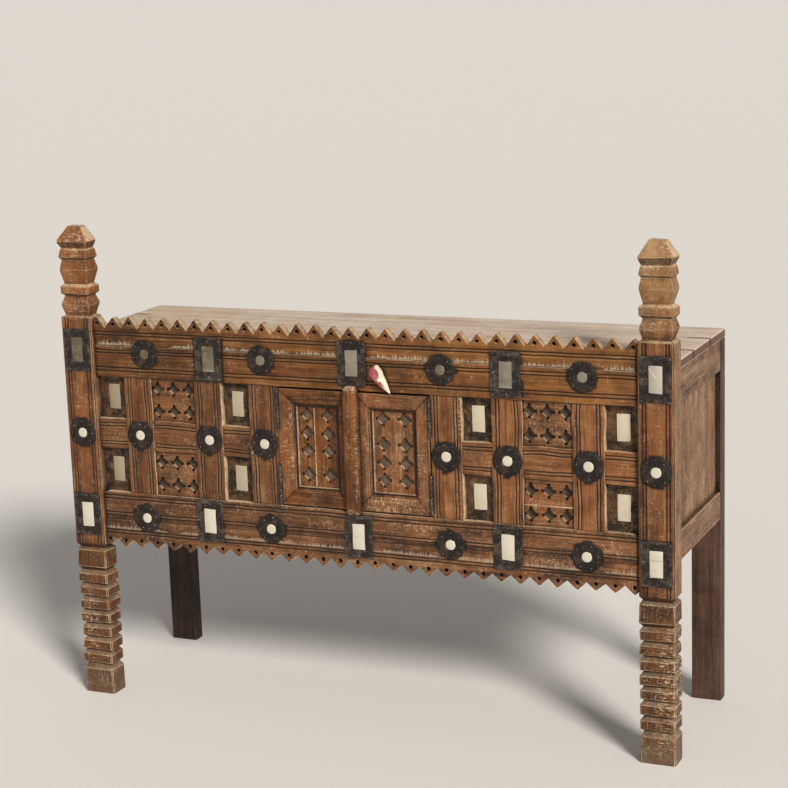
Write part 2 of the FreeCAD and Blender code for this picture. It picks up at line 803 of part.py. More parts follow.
def door_frame(meeting_edge):
    """The four mitred members of the right-hand leaf, cut or widened to its meeting edge."""
    tops = prism_x([(y, z) for z, y in door_section(door_high, -1)], meeting_edge, door_edge)
    lows = prism_x([(y, z) for z, y in door_section(door_low, 1)], meeting_edge, door_edge)
    hinge = prism_z(door_section(door_edge, -1), door_low, door_high)
    spare = max(door_mitre_x - meeting_edge, 0.0)
    meeting = prism_z(door_section(door_mitre_x, 1, spare), door_low, door_high)
    y0 = door_front - 1
    y1 = door_back + 1
    top_cut = prism_y([(door_mitre_x, door_high), (door_edge, door_high), (sight_out, sight_high),
                       (sight_in, sight_high)], y0, y1)
    low_cut = prism_y([(door_mitre_x, door_low), (door_edge, door_low), (sight_out, sight_low),
                       (sight_in, sight_low)], y0, y1)
    hinge_cut = prism_y([(door_edge, door_low), (door_edge, door_high), (sight_out, sight_high),
                         (sight_out, sight_low)], y0, y1)
    mitres = [(door_mitre_x, door_low), (sight_in, sight_low)]
    mitres += [(sight_in, sight_high), (door_mitre_x, door_high)]
    if spare:
        mitres += [(door_mitre_x - spare, door_high), (door_mitre_x - spare, door_low)]
    meeting_cut = prism_y(mitres, y0, y1)
    keep = box(meeting_edge, door_edge, y0, y1, door_low, door_high)
    hinge_room = barrel_rooms() + leaf_beds(door_edge - leaf_thick, door_edge + 1)
    pairs = ((tops, top_cut), (lows, low_cut), (hinge, hinge_cut), (meeting, meeting_cut))
    return [member.common(mitre).common(keep).cut(hinge_room) for member, mitre in pairs]


def door_panel(rows, meeting_edge):
    """The right-hand leaf's panel: a bevelled bead round a sunk field pierced with stars."""
    room = door_lap - joint_gap
    y0 = front + door_lip_back
    y1 = y0 + door_panel_thick
    x0 = max(sight_in - room, meeting_edge)
    panel = box(x0, sight_out + room, y0, y1, sight_low - room, sight_high + room)
    rims = [(sight_in + inset, sight_out - inset, -sight_high + inset, -sight_low - inset, depth)
            for inset, depth in ((0.0, 0.0), (door_panel_bead, door_panel_sink))]
    sunk = tapered(rims)
    sunk.rotate(middle_plane, X, -90)
    sunk.translate(Y * y0)
    wide = sight_out - sight_in
    high = sight_high - sight_low
    stars = [star(sight_in + wide * (0.5 + column), sight_low + high * (0.5 + row), y0 - 1, y1 + 1)
             for column in door_star_columns for row in rows]
    return panel.cut([sunk] + stars)


def door_backing(meeting_edge):
    """The thin sheet behind a leaf's pierced panel."""
    room = door_lap - joint_gap
    y0 = front + door_lip_back + door_panel_thick
    x0 = max(sight_in - room, meeting_edge)
    return box(x0, sight_out + room, y0, y0 + backing_thick, sight_low - room, sight_high + room)


def batten():
    """The rounded upright on the right-hand leaf's meeting edge."""
    wide = batten_width / 2
    face = door_front - batten_thick
    foot = bottom_rail_top - batten_low_lap
    upright = box(-wide, wide, face, door_front, foot, top_rail_base + batten_top_lap)
    proud = [edge for edge in upright.Edges if all(abs(v.Y - face) < 0.01 for v in edge.Vertexes)]
    return upright.makeFillet(batten_round, proud)


def door_stop(level, outward):
    """A rebated strip behind a front rail that the leaves close against."""
    face = door_back + stop_gap
    lip = level - outward * joint_gap
    held = level + outward * stop_hold
    reach = level - outward * stop_reach
    rear = rail_back + stop_thick
    section = [(rail_back, lip), (rail_back, held), (rear, held), (rear, reach), (face, reach), (face, lip)]
    end = opening_half - 2 * leaf_thick
    return prism_x(section, -end, end)


def knuckles(low, odd):
    """The ends, as (low, high), of one leaf's barrel pieces: the odd ones, or those between them."""
    pitch = hinge_length / knuckle_count
    return [(low + k * pitch + knuckle_gap / 2, low + (k + 1) * pitch - knuckle_gap / 2)
            for k in range(0 if odd else 1, knuckle_count, 2)]


def hinge_leaf(low, odd):
    """A right-hand hinge leaf: the odd knuckles, forged flat-sided round the pin, belong to the stile,
    and the even ones, bored to run on it, to the door."""
    x0 = opening_half if odd else door_edge - leaf_thick
    x1 = x0 + leaf_thick
    clear = front + barrel_radius + barrel_room
    leaf = box(x0, x1, clear, front + barrel_radius + leaf_depth, low, low + hinge_length)
    for base, top in knuckles(low, odd):
        barrel = prism_z(ring(hinge_x, front, barrel_radius, barrel_sides), base, top)
        leaf = leaf.fuse([barrel, box(x0, x1, front, clear + 1, base, top)])
    if odd:
        snug = (pin_radius + pin_play) / math.cos(math.pi / barrel_sides)
        bore = prism_z(ring(hinge_x, front, snug, barrel_sides), low - 1, low + hinge_length + 1)
    else:
        bore = Part.makeCylinder(pin_radius + pin_play, hinge_length, FreeCAD.Vector(hinge_x, front, low), Z)
    return leaf.cut(bore).removeSplitter()


def hinge_pin(low):
    """The loose pin of a right-hand hinge."""
    return Part.makeCylinder(pin_radius, hinge_length, FreeCAD.Vector(hinge_x, front, low), Z)


def turn_button():
    """A tapering wooden tongue on a nail, leaning clear of the door."""
    face = front - button_gap
    outline = ((-button_length, button_tip_width, button_tip_thick),
               (-button_waist, button_width, button_thick),
               (button_head / 2, button_width, button_thick),
               (button_head, button_crown_width, button_crown_thick))
    tongue = tapered([(button_x - wide / 2, button_x + wide / 2, face - thick, face, button_z + rise)
                      for rise, wide, thick in outline])
    tongue = tongue.cut(rod_y(button_x, button_z, pin_radius + pin_play, face - button_thick - 1, front))
    tongue.rotate(FreeCAD.Vector(button_x, 0, button_z), Y, -button_lean)
    return tongue


def button_nail():
    """The nail that the turn button turns on."""
    face = front - most_proud
    neck = face + nail_head_thick
    shank = rod_y(button_x, button_z, pin_radius, neck, front + nail_hold)
    return shank.fuse(disc(button_x, button_z, nail_head_radius, nail_head_sides, face, neck)).removeSplitter()


def save_pair(node, shape):
    """Write a right-hand piece and its left-hand twin."""
    save("right_" + node, shape)
    save("left_" + node, mirrored(shape))


def both(shapes):
    """Right-hand pieces with their left-hand twins."""
    return list(shapes) + [mirrored(shape) for shape in shapes]


os.makedirs("parts", exist_ok=True)

# Posts, front rails and the framed front
save_pair("front_post", front_post())
save_pair("rear_post", rear_post())
save("front_top_rail", front_top_rail())
save("front_bottom_rail", front_bottom_rail())
for place, (low_x, high_x) in zip(("inner", "middle", "outer"), stile_spans):
    save_pair(place + "_stile", stile(low_x, high_x))
rails_across = [cross_rail(low_x, high_x) for low_x, high_x in cross_spans]
save("right_cross_rails", *rails_across)
save("left_cross_rails", *[mirrored(rail) for rail in rails_across])
save_pair("upper_pierced_panel", pierced_panel(upper_z))
save_pair("lower_pierced_panel", pierced_panel(lower_z))
sheet_front = front + panel_front + panel_thick
save("panel_backings", *both([filled(middle_out, outer_in, levels, sheet_front, sheet_front + backing_thick)
                              for levels in (lower_z, upper_z)]))
board_front = front + recess_depth
recess_spans = (cross_spans[0], cross_spans[2])
save("recess_boards", *both([filled(low_x, high_x, levels, board_front, board_front + recess_board_thick)
                             for low_x, high_x in recess_spans for levels in (lower_z, upper_z)]))

# Iron plates and mirrors
save("iron_plates", *[iron_plate(x, z, face, plate_width, high) for x, z, face, high in plate_places()])
save("plate_mirrors", *[window_mirror(x, z, face) for x, z, face, high in plate_places()])
save("round_plates", *[round_plate(x, z, face) for x, z, face in round_places()])
save("round_mirrors", *[round_mirror(x, z, face) for x, z, face in round_places()])
save("recess_plates", *[iron_plate(x, z, board_front, wide, high) for x, z, wide, high in recess_places()])
save("recess_mirrors", *[window_mirror(x, z, board_front) for x, z, wide, high in recess_places()])

# Sides, back, top and floor
save_pair("side_top_rail", side_rail(side_top_base, top_under, False))
save_pair("side_low_rail", side_rail(side_low_base, side_low_top, True))
save("right_side_boards", *side_boards())
save("left_side_boards", *[mirrored(board) for board in side_boards()])
save("back_top_rail", back_rail(side_top_base, top_under, False))
save("back_low_rail", back_rail(side_low_base, side_low_top, True))
save("back_boards", *back_boards())
save("top_boards", *long_boards(top_board_count, rear_outer, rail_back, back, top_under, top_height))
save("top_bearers", *bearers(top_under))
save("floor_boards", *long_boards(floor_board_count, side_inner - board_gap, rail_back,
                                  back - back_inset - side_thick, floor_top - floor_thick, floor_top))
save("floor_bearers", *bearers(floor_top - floor_thick))

# Doors: the left leaf stops short of the batten, the right leaf runs under it
right_edge = -batten_width / 2 + joint_gap
left_edge = batten_width / 2 + meeting_gap - joint_gap
member_names = ("top_rail", "low_rail", "hinge_stile", "meeting_stile")
for member, right_piece, left_piece in zip(member_names, door_frame(right_edge), door_frame(left_edge)):
    save("right_door_" + member, right_piece)
    save("left_door_" + member, mirrored(left_piece))
save("right_door_panel", door_panel(right_star_rows, right_edge))
save("left_door_panel", mirrored(door_panel(left_star_rows, left_edge)))
save("right_door_backing", door_backing(right_edge))
save("left_door_backing", mirrored(door_backing(left_edge)))
save("right_door_batten", batten())
save("door_stops", door_stop(top_rail_base, 1), door_stop(bottom_rail_top, -1))

# Hinges and the turn button
save("hinge_stile_leaves", *both([hinge_leaf(low, True) for low in hinge_lows]))
save("hinge_pins", *both([hinge_pin(low) for low in hinge_lows]))
door_leaves = [hinge_leaf(low, False) for low in hinge_lows]
save("right_door_hinge_leaves", *door_leaves)
save("left_door_hinge_leaves", *[mirrored(leaf) for leaf in door_leaves])
save("turn_button", turn_button())
save("turn_button_nail", button_nail())
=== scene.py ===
import json
import math
import random
from collections import namedtuple

import bmesh
import bpy
from mathutils import Matrix, Vector, noise
from mathutils.bvhtree import BVHTree
from mathutils.geometry import intersect_point_line


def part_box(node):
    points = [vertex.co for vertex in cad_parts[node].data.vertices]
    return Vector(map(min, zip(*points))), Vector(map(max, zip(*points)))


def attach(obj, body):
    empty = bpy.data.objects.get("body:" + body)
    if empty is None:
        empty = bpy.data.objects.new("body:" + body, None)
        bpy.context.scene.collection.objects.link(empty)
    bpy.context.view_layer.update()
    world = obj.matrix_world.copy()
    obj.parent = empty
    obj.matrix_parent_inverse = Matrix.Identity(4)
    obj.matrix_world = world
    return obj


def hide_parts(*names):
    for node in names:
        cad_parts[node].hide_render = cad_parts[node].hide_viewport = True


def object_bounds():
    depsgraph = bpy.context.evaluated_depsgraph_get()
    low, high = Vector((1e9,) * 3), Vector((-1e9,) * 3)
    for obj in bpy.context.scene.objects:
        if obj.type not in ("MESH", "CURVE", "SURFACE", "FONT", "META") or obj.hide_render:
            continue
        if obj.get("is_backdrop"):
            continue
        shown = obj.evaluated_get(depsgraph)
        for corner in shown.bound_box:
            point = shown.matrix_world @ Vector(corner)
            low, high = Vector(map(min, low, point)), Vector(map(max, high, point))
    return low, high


# Dowry chest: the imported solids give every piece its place. Here the timber gets worn, hand-cut edges,
# the iron plates their dished rims and nails, and every surface its finish. Metres, front towards -Y.

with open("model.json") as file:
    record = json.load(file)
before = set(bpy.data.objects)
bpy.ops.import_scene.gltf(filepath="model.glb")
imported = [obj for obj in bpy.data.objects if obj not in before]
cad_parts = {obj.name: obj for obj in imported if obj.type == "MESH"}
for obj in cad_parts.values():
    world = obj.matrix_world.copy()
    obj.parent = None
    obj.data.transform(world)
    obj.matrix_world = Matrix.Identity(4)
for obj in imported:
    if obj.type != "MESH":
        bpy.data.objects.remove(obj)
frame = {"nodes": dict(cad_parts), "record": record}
scene = bpy.context.scene
cad_low, cad_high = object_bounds()
record = frame["record"]
body_of_node = {n: body for body, nodes in record["behaviour"]["bodies"].items() for n in nodes}
MM = 0.001
ACROSS, DEEP, UPRIGHT = 0, 1, 2
# The wandering of hand-cut lines is the same in every run
noise.seed_set(5)

# Places taken from the solids
rail_tenon = 40 * MM
tooth_count = 31
top_rail_low, top_rail_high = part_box("front_top_rail")
low_rail_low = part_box("front_bottom_rail")[0]
front_y = top_rail_low.y
rail_half = top_rail_high.x - rail_tenon
tooth_pitch = 2 * rail_half / (tooth_count - 0.5)
first_tooth = -(tooth_count - 1) / 2 * tooth_pitch
block_low = low_rail_low.z + 1 * MM
shoulder = top_rail_high.z - 3 * MM
top_ledge = top_rail_low.z + 76 * MM
low_ledge = low_rail_low.z + 44 * MM
bead_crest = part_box("right_door_panel")[0].y
bead_fall = 8 * MM


# Finishes

# A Mix node's sockets by number: its share, its two values, its two colours and the colour that it gives
SHARE, VALUE_A, VALUE_B, COLOUR_A, COLOUR_B, COLOUR_OUT = 0, 2, 3, 6, 7, 2


def linear(code):
    """A colour written as sRGB hex, as the linear RGBA that shaders take."""
    parts = [int(code[i:i + 2], 16) / 255 for i in (1, 3, 5)]
    return tuple(c / 12.92 if c <= 0.04045 else ((c + 0.055) / 1.055) ** 2.4 for c in parts) + (1.0,)


def node(tree, kind, inputs=None, stops=None, **settings):
    """Adds a shader node with its settings and gives its outputs; an input is a value or a socket."""
    made = tree.nodes.new("ShaderNode" + kind)
    for name, value in settings.items():
        setattr(made, name, value)
    if stops:
        ramp = made.color_ramp.elements
        while len(ramp) < len(stops):
            ramp.new(1.0)
        for element, (place, colour) in zip(ramp, stops):
            element.position = place
            element.color = linear(colour)
    for name, value in (inputs or {}).items():
        if isinstance(value, bpy.types.NodeSocket):
            tree.links.new(value, made.inputs[name])
        else:
            made.inputs[name].default_value = value
    return made.outputs


def blank(name):
    """A new material with its empty tree and its object coordinates."""
    material = bpy.data.materials.new(name)
    material.use_nodes = True
    material.node_tree.nodes.clear()
    return material, material.node_tree, node(material.node_tree, "TexCoord")["Object"]


def surfaced(material, inputs):
    """Gives a material its surface and hands it back."""
    shader = node(material.node_tree, "BsdfPrincipled", inputs)
    node(material.node_tree, "OutputMaterial", {"Surface": shader["BSDF"]})
    return material


def per_metre(size):
    """A pattern's scale from its feature size in millimetres."""
    return 1000.0 / size


def cloud(tree, place, size, detail, roughness=0.62, along=None, length=None):
    """Noise of a given feature size in millimetres, drawn out along one axis if a length is given."""
    sizes = [size, size, size]
    if along is not None:
        sizes[along] = length
    stretch = node(tree, "Mapping", {"Vector": place, "Scale": [per_metre(s) for s in sizes]})
    return node(tree, "TexNoise", {"Vector": stretch["Vector"], "Scale": 1.0, "Detail": detail,
                                   "Roughness": roughness})["Fac"]


def coats(tree, colour, *layers):
    """Lays tints over a colour, one after another. A layer is a tint, its greatest amount and the patterns
    that all have to agree; a pattern is a socket, its values where the coat starts and is full, and
    perhaps the least share that it leaves."""
    for tint, amount, *patterns in layers:
        for pattern, start, full, *least in patterns:
            share = node(tree, "MapRange", {"Value": pattern, "From Min": start, "From Max": full,
                                            "To Min": least[0] if least else 0.0})[0]
            amount = node(tree, "Math", {0: amount, 1: share}, operation="MULTIPLY")[0]
        colour = node(tree, "Mix", {SHARE: amount, COLOUR_A: colour, COLOUR_B: linear(tint)},
                      data_type="RGBA")[COLOUR_OUT]
    return colour


def old_wood(name, along, shades, blush, pale, edge, soot_and_shade, bare=0.5, gloss=0.58, across=5.0, smoke=0.34,
             chalk=None, tints=()):
    """Hand-sawn hardwood, oiled and handled for generations: streaked along the grain, blushed and darkened
    by old stain, dusted, scratched and knifed pale, bright on rubbed edges, black in grimy corners. It also
    carries painted light: pale painted highlights on faces turned to the light, and painted shade in shut-in
    places, hollows and on faces turned away from it."""
    material, tree, place = blank(name)
    axes = node(tree, "SeparateXYZ", {"Vector": place})
    # Patterns by size in mm, detail and roughness; some are drawn out along the grain to a length in mm
    grain = cloud(tree, place, across, 5.0, 0.62, along, 150.0)
    figure = cloud(tree, place, 26.0, 4.0, 0.6, along, 380.0)
    stain = cloud(tree, place, 58.0, 6.0, 0.68)
    dust = cloud(tree, place, 6.0, 6.0, 0.76)
    drift = cloud(tree, place, 115.0, 5.0, 0.62)
    patchy = cloud(tree, place, 42.0, 4.0, 0.65)
    scratch = cloud(tree, place, 3.2, 3.0, 0.6, along, 42.0)
    ticks = cloud(tree, place, 15.0, 3.0, 0.6, along, 2.6)
    chip = cloud(tree, place, 8.0, 5.0, 0.72)
    # The timber's own tones, and old stain over them
    broad = node(tree, "Mix", {SHARE: 0.45, VALUE_A: figure, VALUE_B: stain})[0]
    mixed = node(tree, "Mix", {SHARE: 0.34, VALUE_A: broad, VALUE_B: grain})[0]
    stops = list(zip((0.37, 0.44, 0.50, 0.56, 0.64), shades))
    colour = node(tree, "ValToRGB", {"Fac": mixed}, stops=stops)[0]
    colour = coats(tree, colour, (blush, 0.55, (drift, 0.50, 0.68)), (soot_and_shade, smoke, (drift, 0.46, 0.30)))
    for axis, level, reach, tint, amount in tints:
        tinted = (axes[axis], level, level + reach)
        colour = coats(tree, colour, (tint, 1.4 * amount, tinted, (patchy, 0.40, 0.60, 0.43)))
    # Dust, scratches, knife cuts and limewash
    bare_from = 0.60 - 0.14 * bare
    colour = coats(tree, colour, (pale, 0.75, (dust, 0.52, 0.72), (patchy, bare_from, bare_from + 0.14)),
                   (pale, 0.65, (scratch, 0.66 - 0.04 * bare, 0.76)), (soot_and_shade, 0.6, (scratch, 0.37, 0.25)),
                   (pale, 0.7, (ticks, 0.58, 0.68), (stain, 0.54, 0.62)))
    if chalk:
        colour = chalked(tree, axes, colour, *chalk)
    # Rubbed edges and flaked spots, and the pale painted highlights that the marks give faces turned to the
    # light
    wear_and_highlight, flaked, nook_shade, grime_and_shade = (node(tree, "Attribute", attribute_name=mark)["Fac"]
                                 for mark in ("wear_and_highlight", "flaked", "nook_shade", "grime_and_shade"))
    ragged = node(tree, "Math", {0: dust, 1: ticks}, operation="MAXIMUM")[0]
    rubbed = ((wear_and_highlight, 0.0, 1.0), (chip, 0.36, 0.52, 0.35), (patchy, 0.36, 0.52, 0.3))
    colour = coats(tree, colour, (edge, 1.0, *rubbed), (edge, 0.85, (flaked, 0.0, 1.0), (ragged, 0.55, 0.66)),
                   (soot_and_shade, 1.0, (flaked, 0.0, 1.0), (chip, 0.42, 0.36)))
    # Painted shade where a place is shut in and where the marks say so, joined with grimy corners; rubbed
    # places are spared
    spared = node(tree, "MapRange", {"Value": wear_and_highlight, "To Min": 1.0, "To Max": 0.1})[0]
    kept = node(tree, "Math", {0: nook_shade, 1: spared}, operation="MULTIPLY")[0]
    dirt_and_shade = node(tree, "Math", {0: kept, 1: grime_and_shade}, operation="MAXIMUM")[0]
    uneven = node(tree, "Math", {0: chip, 1: 0.5, 2: -0.25}, operation="MULTIPLY_ADD")[0]
    packed_dirt_and_shade = node(tree, "Math", {0: dirt_and_shade, 1: uneven}, operation="ADD")[0]
    colour = coats(tree, colour, (soot_and_shade, 0.95, (packed_dirt_and_shade, 0.10, 0.56)))
    sheen = node(tree, "MapRange", {"Value": mixed, "From Min": 0.38, "From Max": 0.62,
                                    "To Min": gloss + 0.16, "To Max": gloss - 0.06})[0]
    relief = node(tree, "Mix", {SHARE: 0.55, VALUE_A: grain, VALUE_B: chip})[0]
    bump = node(tree, "Bump", {"Height": relief, "Strength": 0.75, "Distance": 1.8 * MM})["Normal"]
    scored = node(tree, "Bump", {"Height": scratch, "Strength": 0.4, "Distance": 1.0 * MM, "Normal": bump})
    return surfaced(material, {"Base Color": colour, "Roughness": sheen, "Normal": scored["Normal"],
                               "Specular IOR Level": 0.3})


def chalked(tree, axes, colour, ledge, reach, tint, strength):
    """Old limewash caught above a ledge: ragged fingers that rise from it."""
    run = node(tree, "CombineXYZ", {"X": axes["X"]})[0]
    fingers = node(tree, "TexNoise", {"Vector": run, "Scale": per_metre(6.0), "Detail": 3.0,
                                      "Roughness": 0.75})
    stretches = node(tree, "TexNoise", {"Vector": run, "Scale": per_metre(90.0), "Detail": 2.0})
    tall = node(tree, "MapRange", {"Value": fingers["Fac"], "From Min": 0.38, "From Max": 0.72,
                                   "To Max": reach})[0]
    there = node(tree, "MapRange", {"Value": stretches["Fac"], "From Min": 0.36, "From Max": 0.50})
    below = node(tree, "Math", {0: ledge, 1: axes["Z"]}, operation="SUBTRACT")[0]
    short = node(tree, "Math", {0: tall, 1: there[0], 2: below}, operation="MULTIPLY_ADD")[0]
    started = (axes["Z"], ledge - 2 * MM, ledge + 1 * MM)
    return coats(tree, colour, (tint, strength, (short, 0.0, 3 * MM), started))


def beaten_iron(name, shades, rust, bloom, prick, rubbed, gloss=0.5, prick_from=0.66):
    """Thin hand-cut sheet iron, blacked and handled: uneven satin, rust patches, pale pricks, worn rims."""
    material, tree, place = blank(name)
    patch = cloud(tree, place, 22.0, 5.0, 0.66)
    bank = cloud(tree, place, 60.0, 3.0)
    pits = cloud(tree, place, 3.6, 4.0, 0.7)
    colour = node(tree, "ValToRGB", {"Fac": patch}, stops=list(zip((0.34, 0.50, 0.68), shades)))[0]
    wear_and_highlight = node(tree, "Attribute", attribute_name="wear_and_highlight")["Fac"]
    colour = coats(tree, colour, (rust, 0.7, (bank, 0.52, 0.68)), (bloom, 0.6, (bank, 0.46, 0.30)),
                   (prick, 0.75, (pits, prick_from, prick_from + 0.10)), ("#14100E", 0.7, (pits, 0.40, 0.28)),
                   (rubbed, 1.0, (wear_and_highlight, 0.0, 1.0), (patch, 0.40, 0.56, 0.2), (pits, 0.40, 0.58, 0.1)))
    dents = node(tree, "Bump", {"Height": patch, "Strength": 0.7, "Distance": 1.8 * MM})["Normal"]
    grit = node(tree, "Bump", {"Height": pits, "Strength": 0.6, "Distance": 0.8 * MM, "Normal": dents})
    sheen = node(tree, "MapRange", {"Value": patch, "From Min": 0.3, "From Max": 0.7, "To Min": gloss + 0.18,
                                    "To Max": gloss - 0.08})[0]
    return surfaced(material, {"Base Color": colour, "Roughness": sheen, "Normal": grit["Normal"],
                               "Metallic": 0.35})


def old_mirror(name, clean, painted_dimming, foxing, spans):
    """Thin silvered glass bedded in lac: a milky cream glow, foxed in spots, and greyed where every span says
    so. The grey is painted: a darker reflection on the upper mirrors, shade in the recesses. A span is an
    axis and the places where the grey starts and is full."""
    material, tree, place = blank(name)
    axes = node(tree, "SeparateXYZ", {"Vector": place})
    smear = cloud(tree, place, 24.0, 4.0)
    spot = cloud(tree, place, 4.5, 3.0)
    bank = cloud(tree, place, 330.0, 2.0)
    greyed = [(axes[axis], start, full) for axis, start, full in spans]
    colour = coats(tree, linear(clean), (painted_dimming, 1.0, (bank, 0.34, 0.60, 0.70), *greyed),
                   (foxing, 0.25, (smear, 0.5, 0.7)), (foxing, 0.35, (spot, 0.62, 0.72)))
    sheen = node(tree, "MapRange", {"Value": smear, "From Min": 0.35, "From Max": 0.65, "To Min": 0.14,
                                    "To Max": 0.32})[0]
    return surfaced(material, {"Base Color": colour, "Roughness": sheen, "Metallic": 0.15})


def dull_sheet(name, shades):
    """Cheap cotton stuck behind the piercings, grey with dust: flat, faintly mottled and woven, with painted
    shade where it is shut in. The weave is drawn coarser than real thread so that it shows."""
    material, tree, place = blank(name)
    mottle = cloud(tree, place, 16.0, 5.0)
    weave = cloud(tree, place, 1.6, 1.0)
    colour = node(tree, "ValToRGB", {"Fac": mottle}, stops=list(zip((0.34, 0.5, 0.66), shades)))[0]
    nook_shade = node(tree, "Attribute", attribute_name="nook_shade")["Fac"]
    colour = coats(tree, colour, ("#15100C", 0.9, (nook_shade, 0.34, 0.95)))
    bump = node(tree, "Bump", {"Height": weave, "Strength": 0.3, "Distance": 0.4 * MM})
    return surfaced(material, {"Base Color": colour, "Roughness": 0.92, "Normal": bump["Normal"]})


def button_paint(name, red, rose, cream, bare):
    """Limewash paint on a whittled peg: rose red in front, cream on the flank, rubbed bare in places."""
    material, tree, place = blank(name)
    wash = cloud(tree, place, 12.0, 5.0, 0.7)
    flake = cloud(tree, place, 5.0, 4.0, 0.7)
    colour = node(tree, "ValToRGB", {"Fac": wash}, stops=[(0.36, red), (0.62, rose)])[0]
    flank = node(tree, "Attribute", attribute_name="flank")["Fac"]
    ragged = node(tree, "Math", {0: flake, 1: 0.4, 2: flank}, operation="MULTIPLY_ADD")[0]
    colour = coats(tree, colour, (cream, 1.0, (ragged, 0.55, 0.8)), (bare, 0.65, (flake, 0.60, 0.70)))
    bump = node(tree, "Bump", {"Height": flake, "Strength": 0.6, "Distance": 1.0 * MM})
    return surfaced(material, {"Base Color": colour, "Roughness": 0.62, "Normal": bump["Normal"]})


def plain_finish(name, colour, roughness):
    """One even colour, for the floor and the hairline cracks."""
    return surfaced(blank(name)[0], {"Base Color": linear(colour), "Roughness": roughness})


# Shades of each timber, from the darkest streak to the palest
TEAK = ("#3E2313", "#60391F", "#7E4F2B", "#95653C", "#B4885E")
RAIL = ("#2E180A", "#4C2C13", "#6B421D", "#855729", "#A47845")
LOW_TEAK = ("#301C10", "#4D301C", "#684327", "#805837", "#A27C58")
POST = ("#3A2210", "#55341B", "#6F4526", "#845933", "#A27B52")
RIGHT_DOOR = ("#361F10", "#52321C", "#6C4628", "#835937", "#A98363")
LEFT_DOOR = ("#301809", "#4E2B12", "#693E1B", "#804F25", "#9A7042")
SIDE_RAIL = ("#412A1D", "#5A3E2D", "#71543D", "#84654C", "#A5876F")
SIDE = ("#4A3022", "#674634", "#806046", "#947257", "#B4947C")
PLANK = ("#281912", "#39261C", "#493226", "#583F32", "#6D5345")
# The plank tones darkened, painted shade for the left rear post
SHADED = ("#150C08", "#20140E", "#2C1D15", "#38261D", "#4A362B")
BLEACHED = ("#A88E79", "#C6AE99", "#D5C1AE", "#E2D3C2", "#F0E7DA")
# Painted shade: the tint that darkens the front timber towards the left, away from the light
PAINTED_SHADE = "#2A160A"


def timber(name, along, shades=TEAK, blush="#8B4D27", pale="#C8A988", edge="#E6CDAA", soot_and_shade="#1B1009", **more):
    """Old teak in the colours that most of the chest shares."""
    return old_wood(name, along, shades, blush, pale, edge, soot_and_shade, **more)


def plank(name, along, shades):
    """A rough dark board, hardly rubbed."""
    return timber(name, along, shades, shades[2], shades[4], "#7E6454", "#140C08", bare=1.2)


# A tint is an axis, the place where it starts, the run to its full strength, its colour and its share
left_shade = (("X", 0.15, -0.4, PAINTED_SHADE, 0.38),)
# The top rail is tinted warmer and paler towards the right, a painted highlight, and both front rails darker
# towards the left, painted shade
top_rail_wood = timber("limewashed_teak_top_rail", ACROSS, RAIL, chalk=(top_ledge, 19 * MM, "#D6C3A8", 0.7),
                       tints=(("X", -0.1, 0.7, "#A06C38", 0.28), ("X", 0.05, -0.5, PAINTED_SHADE, 0.36)))
low_rail_wood = timber("limewashed_teak_low_rail", ACROSS, LOW_TEAK, bare=1.2,
                       chalk=(low_ledge, 17 * MM, "#D2C0A6", 0.4), tints=(("X", 0.1, -0.5, PAINTED_SHADE, 0.34),))
teak_across = timber("carved_teak_across", ACROSS, bare=0.8, tints=left_shade)
teak_upright = timber("carved_teak_upright", UPRIGHT, bare=0.8, tints=left_shade)
left_post_wood = timber("carved_teak_left_post", UPRIGHT, POST, bare=1.0, across=7.0,
                        tints=(("Z", 0.95, 0.05, "#9A5F33", 0.32), ("Z", 0.40, -0.02, "#3A1F0E", 0.58),
                               ("Z", 0.09, -0.07, "#6E5F4D", 0.40)))
# Painted highlight: the right post's finial and cap are tinted paler than the left post's, as lit from the
# right
right_post_wood = timber("carved_teak_right_post", UPRIGHT, POST, bare=1.2, across=7.0,
                         tints=(("Z", 0.95, 0.05, "#A98258", 0.42), ("Z", 1.10, 0.04, "#C9A67E", 0.30),
                                ("Z", 0.40, -0.02, "#381F0E", 0.68), ("Z", 0.09, -0.07, "#6E5F4D", 0.6)))
side_across = timber("side_teak_deep", DEEP, SIDE_RAIL, "#7A4633", edge="#C9AC8C", bare=1.9, smoke=0.12)
side_upright = timber("side_teak_upright", UPRIGHT, SIDE, "#86503A", edge="#A58768", bare=2.3, smoke=0.12)
panel_wood = timber("pierced_teak", ACROSS, RIGHT_DOOR, bare=1.2)
right_door_across = timber("right_door_teak_across", ACROSS, RIGHT_DOOR, bare=1.4)
right_door_upright = timber("right_door_teak_upright", UPRIGHT, RIGHT_DOOR, bare=1.4)
left_door_across = timber("left_door_teak_across", ACROSS, LEFT_DOOR, bare=0.9)
# Near the batten the left door is tinted dark burgundy: a stain, and also a painted shadow of the batten
left_door_upright = timber("left_door_teak_upright", UPRIGHT, LEFT_DOOR, bare=0.9,
                           tints=(("X", -0.075, 0.02, "#4A221C", 0.45),))
batten_wood = timber("rubbed_batten", UPRIGHT, LEFT_DOOR, "#93502C", bare=0.5)
dark_upright = plank("dark_plank_upright", UPRIGHT, PLANK)
dark_across = plank("dark_plank_across", ACROSS, PLANK)
dark_deep = plank("dark_plank_deep", DEEP, PLANK)
